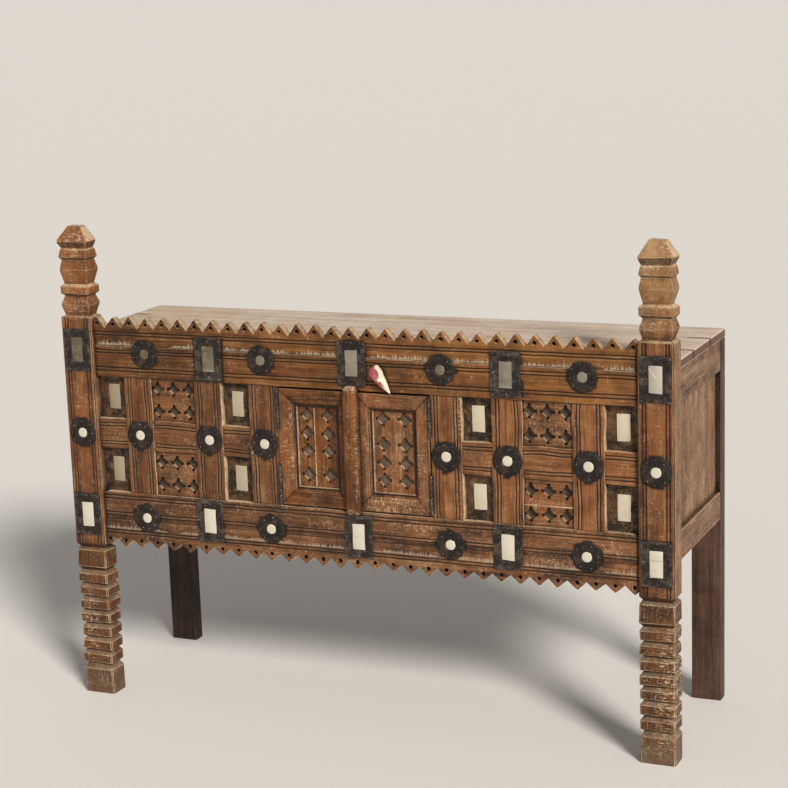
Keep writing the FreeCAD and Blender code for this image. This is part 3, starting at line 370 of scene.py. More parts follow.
# A darker copy of the plank finish for the left rear post: painted shade
shaded_upright = plank("painted_shade_plank_upright", UPRIGHT, SHADED)
top_wood = timber("sun_bleached_top", ACROSS, BLEACHED, "#B8937A", "#EADFCF", "#EFE2CE", "#5E4030", bare=2.0,
                  across=4.0, gloss=0.66, smoke=0.05, tints=(("X", -0.3, -0.4, "#C39E70", 0.3),))
plate_iron = beaten_iron("blacked_sheet_iron", ("#080504", "#201813", "#5C5046"), "#2E1D15", "#302E2C",
                         "#9A9082", "#766D64", 0.40, 0.60)
round_iron = beaten_iron("blacked_round_iron", ("#070504", "#18100C", "#43352C"), "#2A1812", "#1E1C1A",
                         "#867A6C", "#62574D", prick_from=0.60)
recess_iron = beaten_iron("rusted_recess_iron", ("#0C0806", "#2C2015", "#755B3E"), "#6A4A2C", "#191210",
                          "#A8906F", "#6E5A48", 0.62, 0.58)
hinge_iron = beaten_iron("worn_hinge_iron", ("#080606", "#1E1A18", "#6A635B"), "#2A1D17", "#1C1A19",
                         "#B4ADA3", "#B5ADA2", 0.45, 0.56)
nail_steel = beaten_iron("rubbed_nail_heads", ("#5E5750", "#857D73", "#B0A99F"), "#5A4A3E", "#8C8F90",
                         "#D2CCC0", "#D2CCC0", 0.4)
# The upper row of mirrors, except at the far right, is greyed as a painted darker reflection; the recess
# mirrors are greyed towards the left as painted shade
mirror_glass = old_mirror("lac_bedded_mirror", "#DBD4C4", "#5F5443", "#B9AB93",
                          (("Z", 0.79, 0.84), ("X", 0.76, 0.66)))
recess_glass = old_mirror("dim_recess_mirror", "#D8CBB4", "#96866F", "#A8987F", (("X", 0.40, -0.75),))
backing = dull_sheet("dusty_backing_cotton", ("#4C3E32", "#645342", "#7B6A54"))
peg_paint = button_paint("limewash_red_and_cream", "#96384A", "#C07470", "#F3E4C8", "#A9764A")


# Timber: a copy of each solid with hand-worn edges

smooth_below = math.radians(38)
sharp_from = math.radians(18)
flat_within = math.radians(0.5)
seam = 0.005 * MM
snap = 0.3 * MM
weld = 0.6 * MM
sliver = 0.1 * MM
end_room = 0.5 * MM
block_round = 0.7 * MM
block_corner = 36 * MM
wander_reach = 45 * MM
joint_half = 1.2 * MM
crest_rise = 1.6 * MM
# The stretch of a door panel's border that rises to a crest, as shares of its fall
CREST_FROM, CREST_TO = 0.48, 0.90


def clear_of_box(co):
    """A point kept inside the solids' own box."""
    return Vector(min(max(c, low), high) for c, low, high in zip(co, cad_low, cad_high))


def finished(name, bm, material, body, replaced=(), smooth=False):
    """Turns a bmesh into a piece that rides on a body and stands for the solids it replaces."""
    mesh = bpy.data.meshes.new(name)
    bm.to_mesh(mesh)
    bm.free()
    mesh.polygons.foreach_set("use_smooth", [True] * len(mesh.polygons))
    if not smooth:
        mesh.set_sharp_from_angle(angle=smooth_below)
    mesh.materials.append(material)
    piece = bpy.data.objects.new(name, mesh)
    scene.collection.objects.link(piece)
    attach(piece, body)
    if replaced:
        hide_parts(*replaced)
    return piece


def merged(name):
    """A solid's mesh as a bmesh with its flat faces whole again."""
    bm = bmesh.new()
    bm.from_mesh(frame["nodes"][name].data)
    bmesh.ops.remove_doubles(bm, verts=bm.verts, dist=seam)
    bmesh.ops.dissolve_limit(bm, angle_limit=flat_within, verts=bm.verts, edges=bm.edges)
    return bm


def span(verts, axis):
    """The least and the greatest place of some corners along an axis."""
    places = [v.co[axis] for v in verts]
    return min(places), max(places)


def cut_at(bm, axis, place):
    """Cuts every face that crosses one level of an axis."""
    normal = Vector((0, 0, 0))
    normal[axis] = 1.0
    bmesh.ops.bisect_plane(bm, geom=bm.verts[:] + bm.edges[:] + bm.faces[:], plane_co=normal * place,
                           plane_no=normal, dist=snap)


def cut_across(bm, axis, step, start=None):
    """Cuts a piece across at even steps, so that its long edges can wander and its faces hold shading."""
    low, high = span(bm.verts, axis)
    place = low + step / 2 if start is None else start + math.ceil((low - start) / step) * step
    while place < high - end_room:
        cut_at(bm, axis, place)
        place += step


def wander(bm, size, reach, held):
    """Moves each corner a little, by a smooth noise; held(co) is the share that a point may move."""
    for vert in bm.verts:
        drift = noise.noise_vector(vert.co / reach) * size
        vert.co = clear_of_box(vert.co + Vector(d * f for d, f in zip(drift, held(vert.co))))


def rises(vert):
    """Whether a corner stands proud of its neighbours."""
    return sum(vert.normal.dot((e.other_vert(vert).co - vert.co).normalized()) for e in vert.link_edges) < 0.0


def anywhere(co):
    return True


def beside_case(co):
    """Whether a point of a post lies between the case's lowest and highest levels."""
    return block_low - 1 * MM < co.z < shoulder + 1 * MM


def beyond_case(co):
    return not beside_case(co)


def round_edges(bm, width, chosen):
    """Rounds the sharp edges whose corners are all chosen, and gives back the new faces."""
    sharp = [e for e in bm.edges if len(e.link_faces) == 2 and e.calc_face_angle() > sharp_from
             and all(chosen(v.co) for v in e.verts)]
    return set(bmesh.ops.bevel(bm, geom=sharp, offset=width, offset_type="OFFSET", segments=2, profile=0.5,
                               affect="EDGES", clamp_overlap=False, material=-1)["faces"])


def round_post(bm, width):
    """Rounds a post's carving well and its block finely; of the block only outer corners count as rubbed."""
    middle = sum(v.co.x for v in bm.verts) / len(bm.verts)
    block = round_edges(bm, block_round, beside_case)
    carving = round_edges(bm, width, beyond_case)
    kept = [f for f in block if f.is_valid]
    return carving | {f for f in kept if abs(f.calc_center_median().x - middle) > block_corner}


def soften(bm, width, marks, rub):
    """Rounds every sharp edge, and notes where an edge is rubbed pale and where a corner is grimy; other
    faces take their marks, painted highlight and painted shade among them.
    """
    rounded = set()
    is_post = marks is post_marks
    if width:
        bmesh.ops.remove_doubles(bm, verts=bm.verts, dist=weld)
        bmesh.ops.dissolve_degenerate(bm, edges=bm.edges, dist=sliver)
        rounded = round_post(bm, width) if is_post else round_edges(bm, width, anywhere)
    wear_and_highlight = bm.loops.layers.float.new("wear_and_highlight")
    grime_and_shade = bm.loops.layers.float.new("grime_and_shade")
    for face in bm.faces:
        if face in rounded:
            for loop in (l for l in face.loops if all(f in rounded for f in l.vert.link_faces)):
                if rises(loop.vert):
                    on_finial = is_post and loop.vert.co.z > shoulder
                    loop[wear_and_highlight] = rub * (0.4 if on_finial else 1.0)
                else:
                    loop[grime_and_shade] = 0.6 if is_post else 0.9
        else:
            bare, dirt_and_shade = marks(face)
            for loop in face.loops:
                loop[wear_and_highlight] = bare
                loop[grime_and_shade] = dirt_and_shade
    return rounded


# Marks: how pale a face is, from rubbing and from painted highlight, and how dark, from grimy hollows and
# from painted shade

opening_from, opening_to = 3 * MM, 30 * MM
hole_from, hole_to = 3 * MM, 13 * MM
hole_most = 11 * MM
tooth_zone = 30 * MM


def no_marks(face):
    return 0.0, 0.0


def in_groove(face):
    """Whether a face is a wall of a worked groove."""
    return -0.74 < face.normal.y < -0.44


def inside_marks(face):
    """In an opening, walls that face right and sills are bare wood with a painted highlight from the light;
    the other walls get painted shade, and grooves are grimy and get painted shade.
    """
    inward = face.calc_center_median().y - front_y
    if in_groove(face):
        return 0.0, 0.45
    if abs(face.normal.y) < 0.3 and opening_from < inward < opening_to:
        if face.normal.x > 0.6 or face.normal.z > 0.6:
            return 0.85, 0.0
        return 0.0, 0.4
    return 0.0, 0.0


def rail_marks(face):
    """The upward slopes of the upper teeth are pale, rubbed bare and given a painted highlight from above;
    the drilled holes are painted black, painted shade.
    """
    middle = face.calc_center_median()
    if middle.z > shoulder - tooth_zone and face.normal.z > 0.3:
        return 0.55, 0.0
    size = max(high - low for low, high in (span(face.verts, ACROSS), span(face.verts, UPRIGHT)))
    if size < hole_most and hole_from < middle.y - front_y < hole_to:
        return 0.0, 1.0
    return inside_marks(face)


def post_marks(face):
    """Ledges of the carved rings are rubbed and given a painted highlight from above, and the flank that
    faces right is rubbed and given a painted highlight; grooves are grimy with painted shade, and undersides
    get painted shade.
    """
    middle = face.calc_center_median()
    if block_low < middle.z < shoulder - 1 * MM:
        if face.normal.x > 0.9:
            return 0.14, 0.0
        return 0.0, (0.45 if in_groove(face) else 0.0)
    if face.normal.z > 0.45:
        return (0.6 if middle.z > shoulder - 1 * MM else 0.2), 0.0
    if face.normal.z < -0.35:
        return 0.0, 0.40
    return 0.0, 0.0


def pierced_marks(face, bare=0.6):
    """Walls of a piercing: pale where they face right and up, bare wood with a painted highlight; painted
    shade elsewhere, deepest on walls that do not face up.
    """
    if face.normal.y < -0.6:
        return 0.0, 0.0
    if face.normal.x > 0.1 and face.normal.z > 0.1:
        return bare, 0.0
    return (0.0, 0.8) if face.normal.z < 0.1 else (0.0, 0.4)


def bead_marks(face):
    """A door panel's border: a dark quirk, and a crest with a painted highlight on the sides that face right
    and up and painted shade on the others; the rest of the slope is darkened a little.
    """
    sunk = (face.calc_center_median().y - bead_crest) / bead_fall
    if sunk > 0.97 or abs(face.normal.y) < 0.15:
        return pierced_marks(face, 0.9)
    if 0.30 < sunk < CREST_FROM:
        return 0.0, 0.75
    if CREST_FROM < sunk < CREST_TO:
        return (0.42, 0.0) if max(face.normal.x, face.normal.z) > 0.2 else (0.0, 0.3)
    return 0.0, 0.25


def board_marks(face):
    """The sawn ends of the top boards are dark."""
    return (0.0, 0.8) if abs(face.normal.x) > 0.9 else (0.0, 0.0)


# Wandering: the share of the noise that a point follows across, deep and upright

post_ease = 25 * MM
foot_ease = 20 * MM
rail_end_ease = 20 * MM
upper_teeth, lower_teeth = 18 * MM, 12 * MM
button_back = 4 * MM


def still(co):
    return 0.0, 0.0, 0.0


def sideways(co):
    return 1.0, 0.0, 0.0


def levels(co):
    return 0.0, 0.0, 1.0


def carved_only(co):
    """Posts wander where they are carved, and stay true beside the case and on the floor."""
    away = max(block_low - co.z, co.z - shoulder, 0.0)
    free = min(away / post_ease, 1.0) * min(co.z / foot_ease, 1.0)
    return free, free, 0.6 * free


def teeth_most(co):
    """A rail's teeth wander, its mouldings a little, its ends not at all."""
    free = min(max((rail_half - abs(co.x)) / rail_end_ease, 0.0), 1.0)
    tooth = co.z > shoulder - upper_teeth or co.z < block_low + lower_teeth
    return (0.8 * free, 0.0, free) if tooth else (0.0, 0.0, 0.3 * free)


def cut_glass(co):
    return 0.5, 0.0, 0.8


def button_front(co):
    """Only what stands in front of the rail is whittled."""
    return (1.0, 0.4, 0.6) if co.y < front_y - button_back else (0.0, 0.0, 0.0)


# Working single pieces

mitre_reach = 2.2 * MM


def mould_bead(bm):
    """Raises a crest along the slope of a door panel's border."""
    for vert in bm.verts:
        sunk = (vert.co.y - bead_crest) / bead_fall
        if CREST_FROM < sunk < CREST_TO:
            vert.co.y -= crest_rise * math.sin(math.pi * (sunk - CREST_FROM) / (CREST_TO - CREST_FROM))


def mitre_lines(bm):
    """The edges of a door member's slanting ends, as pairs of points."""
    slanting = [f for f in bm.faces if abs(f.normal.x) > 0.3 and abs(f.normal.z) > 0.3]
    return [(e.verts[0].co.copy(), e.verts[1].co.copy()) for f in slanting for e in f.edges]


def grimed_mitres(bm, rounded, lines):
    """Blackens the rounded edges along the mitres."""
    wear_and_highlight = bm.loops.layers.float["wear_and_highlight"]
    grime_and_shade = bm.loops.layers.float["grime_and_shade"]
    for face in rounded:
        middle = face.calc_center_median()
        if any((middle - intersect_point_line(middle, *line)[0]).length < mitre_reach for line in lines):
            for loop in face.loops:
                loop[wear_and_highlight] = 0.0
                loop[grime_and_shade] = 1.0


def worn_ends(bm, reach, narrow, sink):
    """Wears the two ends of an upright strip round and pale, by a share of its width and depth."""
    low, high = span(bm.verts, UPRIGHT)
    back = span(bm.verts, DEEP)[1]
    middle = sum(span(bm.verts, ACROSS)) / 2
    wear_and_highlight = bm.loops.layers.float["wear_and_highlight"]
    for share in (0.12, 0.35, 0.7, 1.0):
        cut_at(bm, UPRIGHT, low + share * reach)
        cut_at(bm, UPRIGHT, high - share * reach)
    for vert in bm.verts:
        near = min(vert.co.z - low, high - vert.co.z) / reach
        if near < 1.0:
            fall = 1.0 - math.sqrt(max(0.0, 1.0 - (1.0 - near) ** 2))
            for loop in vert.link_loops:
                loop[wear_and_highlight] = max(loop[wear_and_highlight], 0.7 * fall)
            vert.co.x += (middle - vert.co.x) * narrow * fall
            vert.co.y += (back - vert.co.y) * sink * fall


def pale_joint(bm, axis, place):
    """A pale line where two boards of a panel meet."""
    for side in (-joint_half, joint_half):
        cut_at(bm, axis, place + side)
    wear_and_highlight = bm.loops.layers.float["wear_and_highlight"]
    for face in bm.faces:
        if abs(face.calc_center_median()[axis] - place) < joint_half and face.normal.y < -0.9:
            for loop in face.loops:
                loop[wear_and_highlight] = 0.75


def flake_spots(bm, spots):
    """Notes where the surface has flaked: spots of (x, z), half width, half height and strength."""
    flaked = bm.loops.layers.float.new("flaked")
    for loop in (l for f in bm.faces for l in f.loops):
        co = loop.vert.co / MM
        loop[flaked] = max([0.0] + [strength * min(1.0, 2.0 * max(0.0, 1.0 - abs(co.x - x) / wide)
                                                   * max(0.0, 1.0 - abs(co.z - z) / tall))
                                    for x, z, wide, tall, strength in spots])


# Where two boards of a panel meet
PANEL_JOINTS = {"left_door_panel": (ACROSS, -104 * MM), "right_lower_pierced_panel": (UPRIGHT, 568 * MM)}
# Flaked and chalky spots, in mm
FLAKED = {
    "right_front_post": ((740, 190, 34, 150, 1.0), (735, 60, 30, 50, 0.7), (712, 1000, 40, 40, 0.5),
                         (738, 1148, 14, 26, 1.0), (708, 1112, 34, 14, 0.8)),
    "left_front_post": ((-716, 1120, 40, 50, 0.7), (-716, 980, 45, 50, 0.5), (-730, 180, 30, 120, 0.6),
                        (-696, 1146, 18, 24, 1.0)),
    "right_inner_stile": ((258, 760, 16, 70, 0.9), (255, 590, 14, 50, 0.6)),
    "left_inner_stile": ((-258, 640, 14, 80, 0.4),),
    "right_cross_rails": ((300, 668, 40, 22, 0.35), (455, 655, 40, 20, 0.25), (640, 668, 36, 20, 0.25)),
    "left_cross_rails": ((-640, 660, 40, 20, 0.25), (-300, 668, 40, 20, 0.25)),
    "right_door_low_rail": ((100, 545, 90, 26, 0.8),),
    "right_door_hinge_stile": ((160, 640, 24, 60, 0.7),),
    "left_door_hinge_stile": ((-160, 660, 24, 140, 0.5),),
    "right_door_batten": ((0, 815, 30, 14, 1.0), (0, 517, 30, 16, 1.0), (14, 660, 7, 150, 0.45),
                          (-14, 760, 7, 60, 0.3)),
    "front_bottom_rail": ((470, 452, 90, 24, 0.5), (610, 470, 50, 20, 0.45), (-560, 452, 80, 22, 0.35),
                          (150, 500, 90, 14, 0.5)),
    "front_top_rail": ((560, 890, 90, 18, 0.5), (-600, 885, 80, 18, 0.5)),
    "left_lower_pierced_panel": ((-468, 590, 60, 50, 0.25),),
    "right_upper_pierced_panel": ((468, 750, 60, 50, 0.2),),
}

# Grids that a piece is cut into after its rounding, as axes and steps in mm
FRONT_GRID = ((ACROSS, 11), (UPRIGHT, 9))
POST_GRID = ((ACROSS, 12), (DEEP, 14), (UPRIGHT, 9))
STILE_GRID = ((ACROSS, 9), (UPRIGHT, 12))
PIERCED_GRID = ((ACROSS, 6), (UPRIGHT, 6))
PANEL_GRID = ((ACROSS, 7), (UPRIGHT, 7))
SHEET_GRID = ((ACROSS, 4), (UPRIGHT, 4))
SIDE_GRID = ((DEEP, 16), (UPRIGHT, 16))
TOP_GRID = ((ACROSS, 40), (DEEP, 18))
BACK_GRID = ((ACROSS, 30), (UPRIGHT, 30))
RAIL_GRID = ((UPRIGHT, 9),)
BATTEN_GRID = ((UPRIGHT, 14),)
REAR_GRID = ((UPRIGHT, 60),)
# Cuts before the rounding
BEAD_CUTS = ((DEEP, 0.75),)
STILE_CUTS = ((UPRIGHT, 24),)
CROSS_CUTS = ((ACROSS, 21),)
BATTEN_CUTS = ((UPRIGHT, 20),)

# Nodes, finish, rounding, how far the edges are rubbed, grid, marks, wandering and its size, and the cuts
# before the rounding; sizes in mm
Worn = namedtuple("Worn", "nodes finish rounding rub grid marks held drift cuts",
                  defaults=(no_marks, still, 0, ()))
WOOD = (
    Worn(("right_front_post",), right_post_wood, 1.2, 0.8, POST_GRID, post_marks, carved_only, 3.8),
    Worn(("left_front_post",), left_post_wood, 1.2, 0.8, POST_GRID, post_marks, carved_only, 3.8),
    Worn(("right_rear_post",), dark_upright, 2.5, 0.5, REAR_GRID),
    Worn(("left_rear_post",), shaded_upright, 2.5, 0.3, REAR_GRID),
    Worn(("front_top_rail",), top_rail_wood, 0.6, 0.2, RAIL_GRID, rail_marks, teeth_most, 3.8),
    Worn(("front_bottom_rail",), low_rail_wood, 0.6, 0.22, RAIL_GRID, rail_marks, teeth_most, 3.8),
    Worn(("right_inner_stile", "left_inner_stile", "right_middle_stile", "left_middle_stile",
          "right_outer_stile", "left_outer_stile"), teak_upright, 0.7, 0.3, STILE_GRID, inside_marks,
         sideways, 2.6, STILE_CUTS),
    Worn(("right_cross_rails", "left_cross_rails"), teak_across, 0.7, 0.35, FRONT_GRID, inside_marks, levels,
         2.6, CROSS_CUTS),
    Worn(("right_upper_pierced_panel", "right_lower_pierced_panel", "left_upper_pierced_panel",
          "left_lower_pierced_panel"), panel_wood, 0, 0.0, PIERCED_GRID, pierced_marks),
    Worn(("right_door_panel",), right_door_upright, 0, 0.0, PANEL_GRID, bead_marks, cuts=BEAD_CUTS),
    Worn(("left_door_panel",), left_door_upright, 0, 0.0, PANEL_GRID, bead_marks, cuts=BEAD_CUTS),
    Worn(("right_door_top_rail", "right_door_low_rail"), right_door_across, 0.9, 0.5, FRONT_GRID),
    Worn(("left_door_top_rail", "left_door_low_rail"), left_door_across, 0.9, 0.4, FRONT_GRID),
    Worn(("right_door_hinge_stile", "right_door_meeting_stile"), right_door_upright, 0.9, 0.5, FRONT_GRID),
    Worn(("left_door_hinge_stile", "left_door_meeting_stile"), left_door_upright, 0.9, 0.4, FRONT_GRID),
    Worn(("right_door_batten",), batten_wood, 3.0, 0.8, BATTEN_GRID, no_marks, sideways, 2.4, BATTEN_CUTS),
    Worn(("right_side_top_rail", "left_side_top_rail", "right_side_low_rail", "left_side_low_rail"),
         side_across, 2.4, 0.95, SIDE_GRID),
    Worn(("right_side_boards", "left_side_boards"), side_upright, 0.8, 0.3, SIDE_GRID),
    Worn(("top_boards",), top_wood, 2.0, 0.5, TOP_GRID, board_marks),
    Worn(("back_top_rail", "back_low_rail"), dark_across, 1.8, 0.5, BACK_GRID),
    Worn(("back_boards",), dark_upright, 1.0, 0.5, BACK_GRID),
    Worn(("recess_boards",), teak_upright, 0, 0.0, FRONT_GRID),
    Worn(("panel_backings", "right_door_backing", "left_door_backing"), backing, 0, 0.0, SHEET_GRID),
)


def worn_timber(name, row):
    """One wooden piece: cut, set wandering, rounded, marked and cut again so that its marks hold."""
    bm = merged(name)
    toothed = row.marks is rail_marks
    mitred = "_door_" in name and name.endswith(("rail", "stile"))
    if toothed:
        cut_across(bm, ACROSS, tooth_pitch / 2, first_tooth)
    for axis, step in row.cuts:
        cut_across(bm, axis, step * MM)
    if row.marks is bead_marks:
        mould_bead(bm)
    if row.drift:
        wander(bm, row.drift * MM, wander_reach, row.held)
    lines = mitre_lines(bm) if mitred else ()
    rounded = soften(bm, row.rounding * MM, row.marks, row.rub)
    if name in PANEL_JOINTS:
        pale_joint(bm, *PANEL_JOINTS[name])
    if mitred:
        grimed_mitres(bm, rounded, lines)
    if name == "right_door_batten":
        worn_ends(bm, reach=15 * MM, narrow=0.45, sink=0.55)
    if toothed:
        cut_across(bm, ACROSS, tooth_pitch / 2, first_tooth + tooth_pitch / 4)
    for axis, step in row.grid:
        cut_across(bm, axis, step * MM)
    flake_spots(bm, FLAKED.get(name, ()))
    bmesh.ops.triangulate(bm, faces=[f for f in bm.faces if len(f.verts) > 4])
    return finished("worn_" + name, bm, row.finish, body_of_node[name], (name,))


timbers = [worn_timber(name, row) for row in WOOD for name in row.nodes]

hinge_round, hinge_rub = 0.4 * MM, 0.7
for name in ("hinge_stile_leaves", "hinge_pins", "right_door_hinge_leaves", "left_door_hinge_leaves"):
    bm = merged(name)
    soften(bm, hinge_round, no_marks, hinge_rub)
    finished("worn_" + name, bm, hinge_iron, body_of_node[name], (name,))

for name, material in (("floor_boards", dark_across), ("top_bearers", dark_deep),
                       ("floor_bearers", dark_deep), ("door_stops", teak_across),
                       ("turn_button_nail", peg_paint)):
    for place in frame["nodes"][name].material_slots:
        place.material = material


# Iron plates, mirrors and nails

# How far the plates' edges bend and lift, and the reach of the noise that does it
bend_across, bend_upright, most_lift = 1.5 * MM, 1.8 * MM, 1.0 * MM
bend_reach, lift_reach, rim_reach = 24 * MM, 30 * MM, 12 * MM
plate_steps, disc_steps = 40, 32
part_seam = 0.01 * MM
glass_drift, glass_reach, glass_round = 3.0 * MM, 12 * MM, 0.35 * MM


def islands(name):
    """The boxes of the separate solids in a node, as (low, high), from left to right and low to high."""
    bm = merged(name)
    left = set(bm.verts)
    boxes = []
    while left:
        group = {left.pop()}
        rim = set(group)
        while rim:
            rim = {e.other_vert(v) for v in rim for e in v.link_edges} - group
            group |= rim
        left -= group
        boxes.append([Vector(ends) for ends in zip(*(span(group, axis) for axis in (ACROSS, DEEP, UPRIGHT)))])
    bm.free()
    return sorted(boxes, key=lambda box: (round(box[0].x, 3), round(box[0].z, 3)))


def cut_plate(low, high, window, seed):
    """One rectangular plate with a window, cut a little out of true and lifted here and there."""
    middle = (low + high) / 2
    wide = (high.x - low.x) / 2
    tall = (high.z - low.z) / 2
    bm = bmesh.new()
    bmesh.ops.create_grid(bm, x_segments=3, y_segments=3, size=1.5)
    for vert in bm.verts:
        x, z = vert.co.x, vert.co.y
        vert.co = Vector((math.copysign(wide if abs(x) > 1 else window[0], x), 0.0,
                          math.copysign(tall if abs(z) > 1 else window[1], z)))
    centre = [f for f in bm.faces if f.calc_center_median().length < 1 * MM]
    bmesh.ops.delete(bm, geom=centre, context="FACES_ONLY")
    bmesh.ops.subdivide_edges(bm, edges=bm.edges[:], cuts=3, use_grid_fill=True)
    offset = Vector((seed * 1.9, seed * 0.7, -seed * 1.1))
    for vert in bm.verts:
        bend = noise.noise_vector(vert.co / bend_reach + offset)
        lift = max(noise.noise(vert.co / lift_reach - offset), 0.0)
        vert.co += Vector((bend.x * bend_across, -lift * most_lift, bend.z * bend_upright))
        vert.co += Vector((middle.x, low.y, middle.z))
    wear_and_highlight = bm.loops.layers.float.new("wear_and_highlight")
    for loop in (l for f in bm.faces for l in f.loops):
        at_rim = max(abs(loop.vert.co.x - middle.x) / wide, abs(loop.vert.co.z - middle.z) / tall) > 0.9
        loop[wear_and_highlight] = 0.55 if at_rim else 0.0
    wall = bmesh.ops.extrude_face_region(bm, geom=bm.faces[:])["geom"]
    for vert in (g for g in wall if isinstance(g, bmesh.types.BMVert)):
        vert.co.y = high.y
    return bm


def turned_disc(profile, centre, steps):
    """A round piece spun about an axis that runs front to back; its profile is (radius, depth) points."""
    bm = bmesh.new()
    ring = [bm.verts.new((centre.x + radius, y, centre.z)) for radius, y in profile]
    line = [bm.edges.new(pair) for pair in zip(ring, ring[1:])]
    bmesh.ops.spin(bm, geom=ring + line, cent=centre, axis=(0, 1, 0), angle=2 * math.pi, steps=steps,
                   use_merge=True)
    return bm


def dished_plate(low, high, hole, seed):
    """One round plate, dished by the hammer, with a ragged rim."""
    middle = (low + high) / 2
    radius = (high.x - low.x) / 2
    dish = ((hole, 0.0), (hole, 1.2), (hole + 1.6 * MM, 1.9), (0.55 * radius, 2.3), (0.8 * radius, 1.9),
            (radius - 0.8 * MM, 1.2), (radius, 0.7), (radius, 0.0))
    bm = turned_disc([(r, high.y - rise * MM) for r, rise in dish], Vector((0, 0, 0)), plate_steps)
    offset = Vector((seed * 1.7, seed * 0.9, -seed * 1.3))
    for vert in bm.verts:
        flat = Vector((vert.co.x, 0.0, vert.co.z))
        grow = 1.0 + 0.05 * noise.noise(flat / rim_reach + offset) * flat.length / radius
        vert.co = Vector((vert.co.x * grow + middle.x, vert.co.y, vert.co.z * grow + middle.z))
    return bm


def cut_disc(low, high):
    """A round mirror: a cut disc, a little convex."""
    radius = (high.x - low.x) / 2
    deep = high.y - low.y
    lens = ((0.0, deep + 0.5 * MM), (0.5 * radius, deep + 0.35 * MM), (0.9 * radius, deep),
            (radius, 0.6 * deep), (radius, 0.0))
    return turned_disc([(r, high.y - rise) for r, rise in lens], (low + high) / 2, disc_steps)


def gathered(parts):
    """Several small bmeshes as one, seams merged and faces turned outwards."""
    whole = bmesh.new()
    carrier = bpy.data.meshes.new("carrier")
    for part in parts:
        bmesh.ops.remove_doubles(part, verts=part.verts, dist=part_seam)
        bmesh.ops.recalc_face_normals(part, faces=part.faces)
        part.to_mesh(carrier)
        part.free()
        whole.from_mesh(carrier)
    bpy.data.meshes.remove(carrier)
    return whole


plate_boxes = islands("iron_plates")
round_boxes = islands("round_plates")
recess_boxes = islands("recess_plates")
glass_boxes = islands("plate_mirrors")
disc_boxes = islands("round_mirrors")
glass_room = 0.15 * MM
glass_low, glass_high = glass_boxes[0]
disc_low, disc_high = disc_boxes[0]
window = ((glass_high.x - glass_low.x) / 2 + glass_room, (glass_high.z - glass_low.z) / 2 + glass_room)
round_hole = (disc_high.x - disc_low.x) / 2 + glass_room
first_recess_seed = 40

bm = gathered(cut_plate(*box, window, i) for i, box in enumerate(plate_boxes))
finished("cut_iron_plates", bm, plate_iron, "frame", ("iron_plates",))
bm = gathered(cut_plate(*box, window, i) for i, box in enumerate(recess_boxes, first_recess_seed))
finished("cut_recess_plates", bm, recess_iron, "frame", ("recess_plates",))
bm = gathered(dished_plate(*box, round_hole, i) for i, box in enumerate(round_boxes))
finished("dished_round_plates", bm, round_iron, "frame", ("round_plates",), smooth=True)
bm = gathered(cut_disc(*box) for box in disc_boxes)
finished("round_cut_mirrors", bm, mirror_glass, "frame", ("round_mirrors",), smooth=True)
for name, material in (("plate_mirrors", mirror_glass), ("recess_mirrors", recess_glass)):
    bm = merged(name)
    wander(bm, glass_drift, glass_reach, cut_glass)
    soften(bm, glass_round, no_marks, 0.0)
    finished("cut_" + name, bm, material, "frame", (name,))

nails = bmesh.new()
rng = random.Random(7)
round_nail_count = 8
side_inset, end_inset = 5 * MM, 6 * MM
nail_proud, dish_height = 0.4 * MM, 2.0 * MM


def add_nail(x, y, z, radius):
    """A low domed nail head, sunk to its rim."""
    dome = Matrix.Translation((x, y, z)) @ Matrix.Diagonal((1.0, 0.55, 1.0, 1.0))
    bmesh.ops.create_icosphere(nails, subdivisions=1, radius=radius * MM, matrix=dome)


for low, high in plate_boxes:
    middle = (low + high) / 2
    wide = (high.x - low.x) / 2 - side_inset
    tall = (high.z - low.z) / 2 - end_inset
    spots = [(sx * wide, sz * tall) for sx in (-1, 1) for sz in (-1, 0.05, 1)] + [(0, -tall), (0, tall)]
    for dx, dz in spots:
        add_nail(middle.x + dx + rng.uniform(-2, 2) * MM, low.y - nail_proud,
                 middle.z + dz + rng.uniform(-3, 3) * MM, rng.uniform(1.2, 1.9))
for low, high in round_boxes:
    middle = (low + high) / 2
    start = rng.uniform(0, math.pi)
    for i in range(round_nail_count):
        turn = start + i * 2 * math.pi / round_nail_count + rng.uniform(-0.2, 0.2)
        reach = (high.x - low.x) / 2 - rng.uniform(5, 9) * MM
        add_nail(middle.x + reach * math.cos(turn), high.y - dish_height, middle.z + reach * math.sin(turn),
                 rng.uniform(1.0, 1.8))
finished("plate_nails", nails, nail_steel, "frame", smooth=True)


crack_proud = 0.12 * MM
crack_width = Vector((0.5 * MM, 0.0, 0.6 * MM))


def cracks(name, material, glass, lines):
    """Hairline cracks across a mirror, as ribbons just proud of it; places are shares of its two sides."""
    low, high = glass
    bm = bmesh.new()
    for line in lines:
        verts = [bm.verts.new((low.x + u * (high.x - low.x), low.y - crack_proud,
                               low.z + v * (high.z - low.z))) for u, v in line]
        edges = [bm.edges.new(pair) for pair in zip(verts, verts[1:])]
        drawn = bmesh.ops.extrude_edge_only(bm, edges=edges)["geom"]
        bmesh.ops.translate(bm, verts=[g for g in drawn if isinstance(g, bmesh.types.BMVert)],
                            vec=crack_width)
    finished(name, bm, material, "frame")


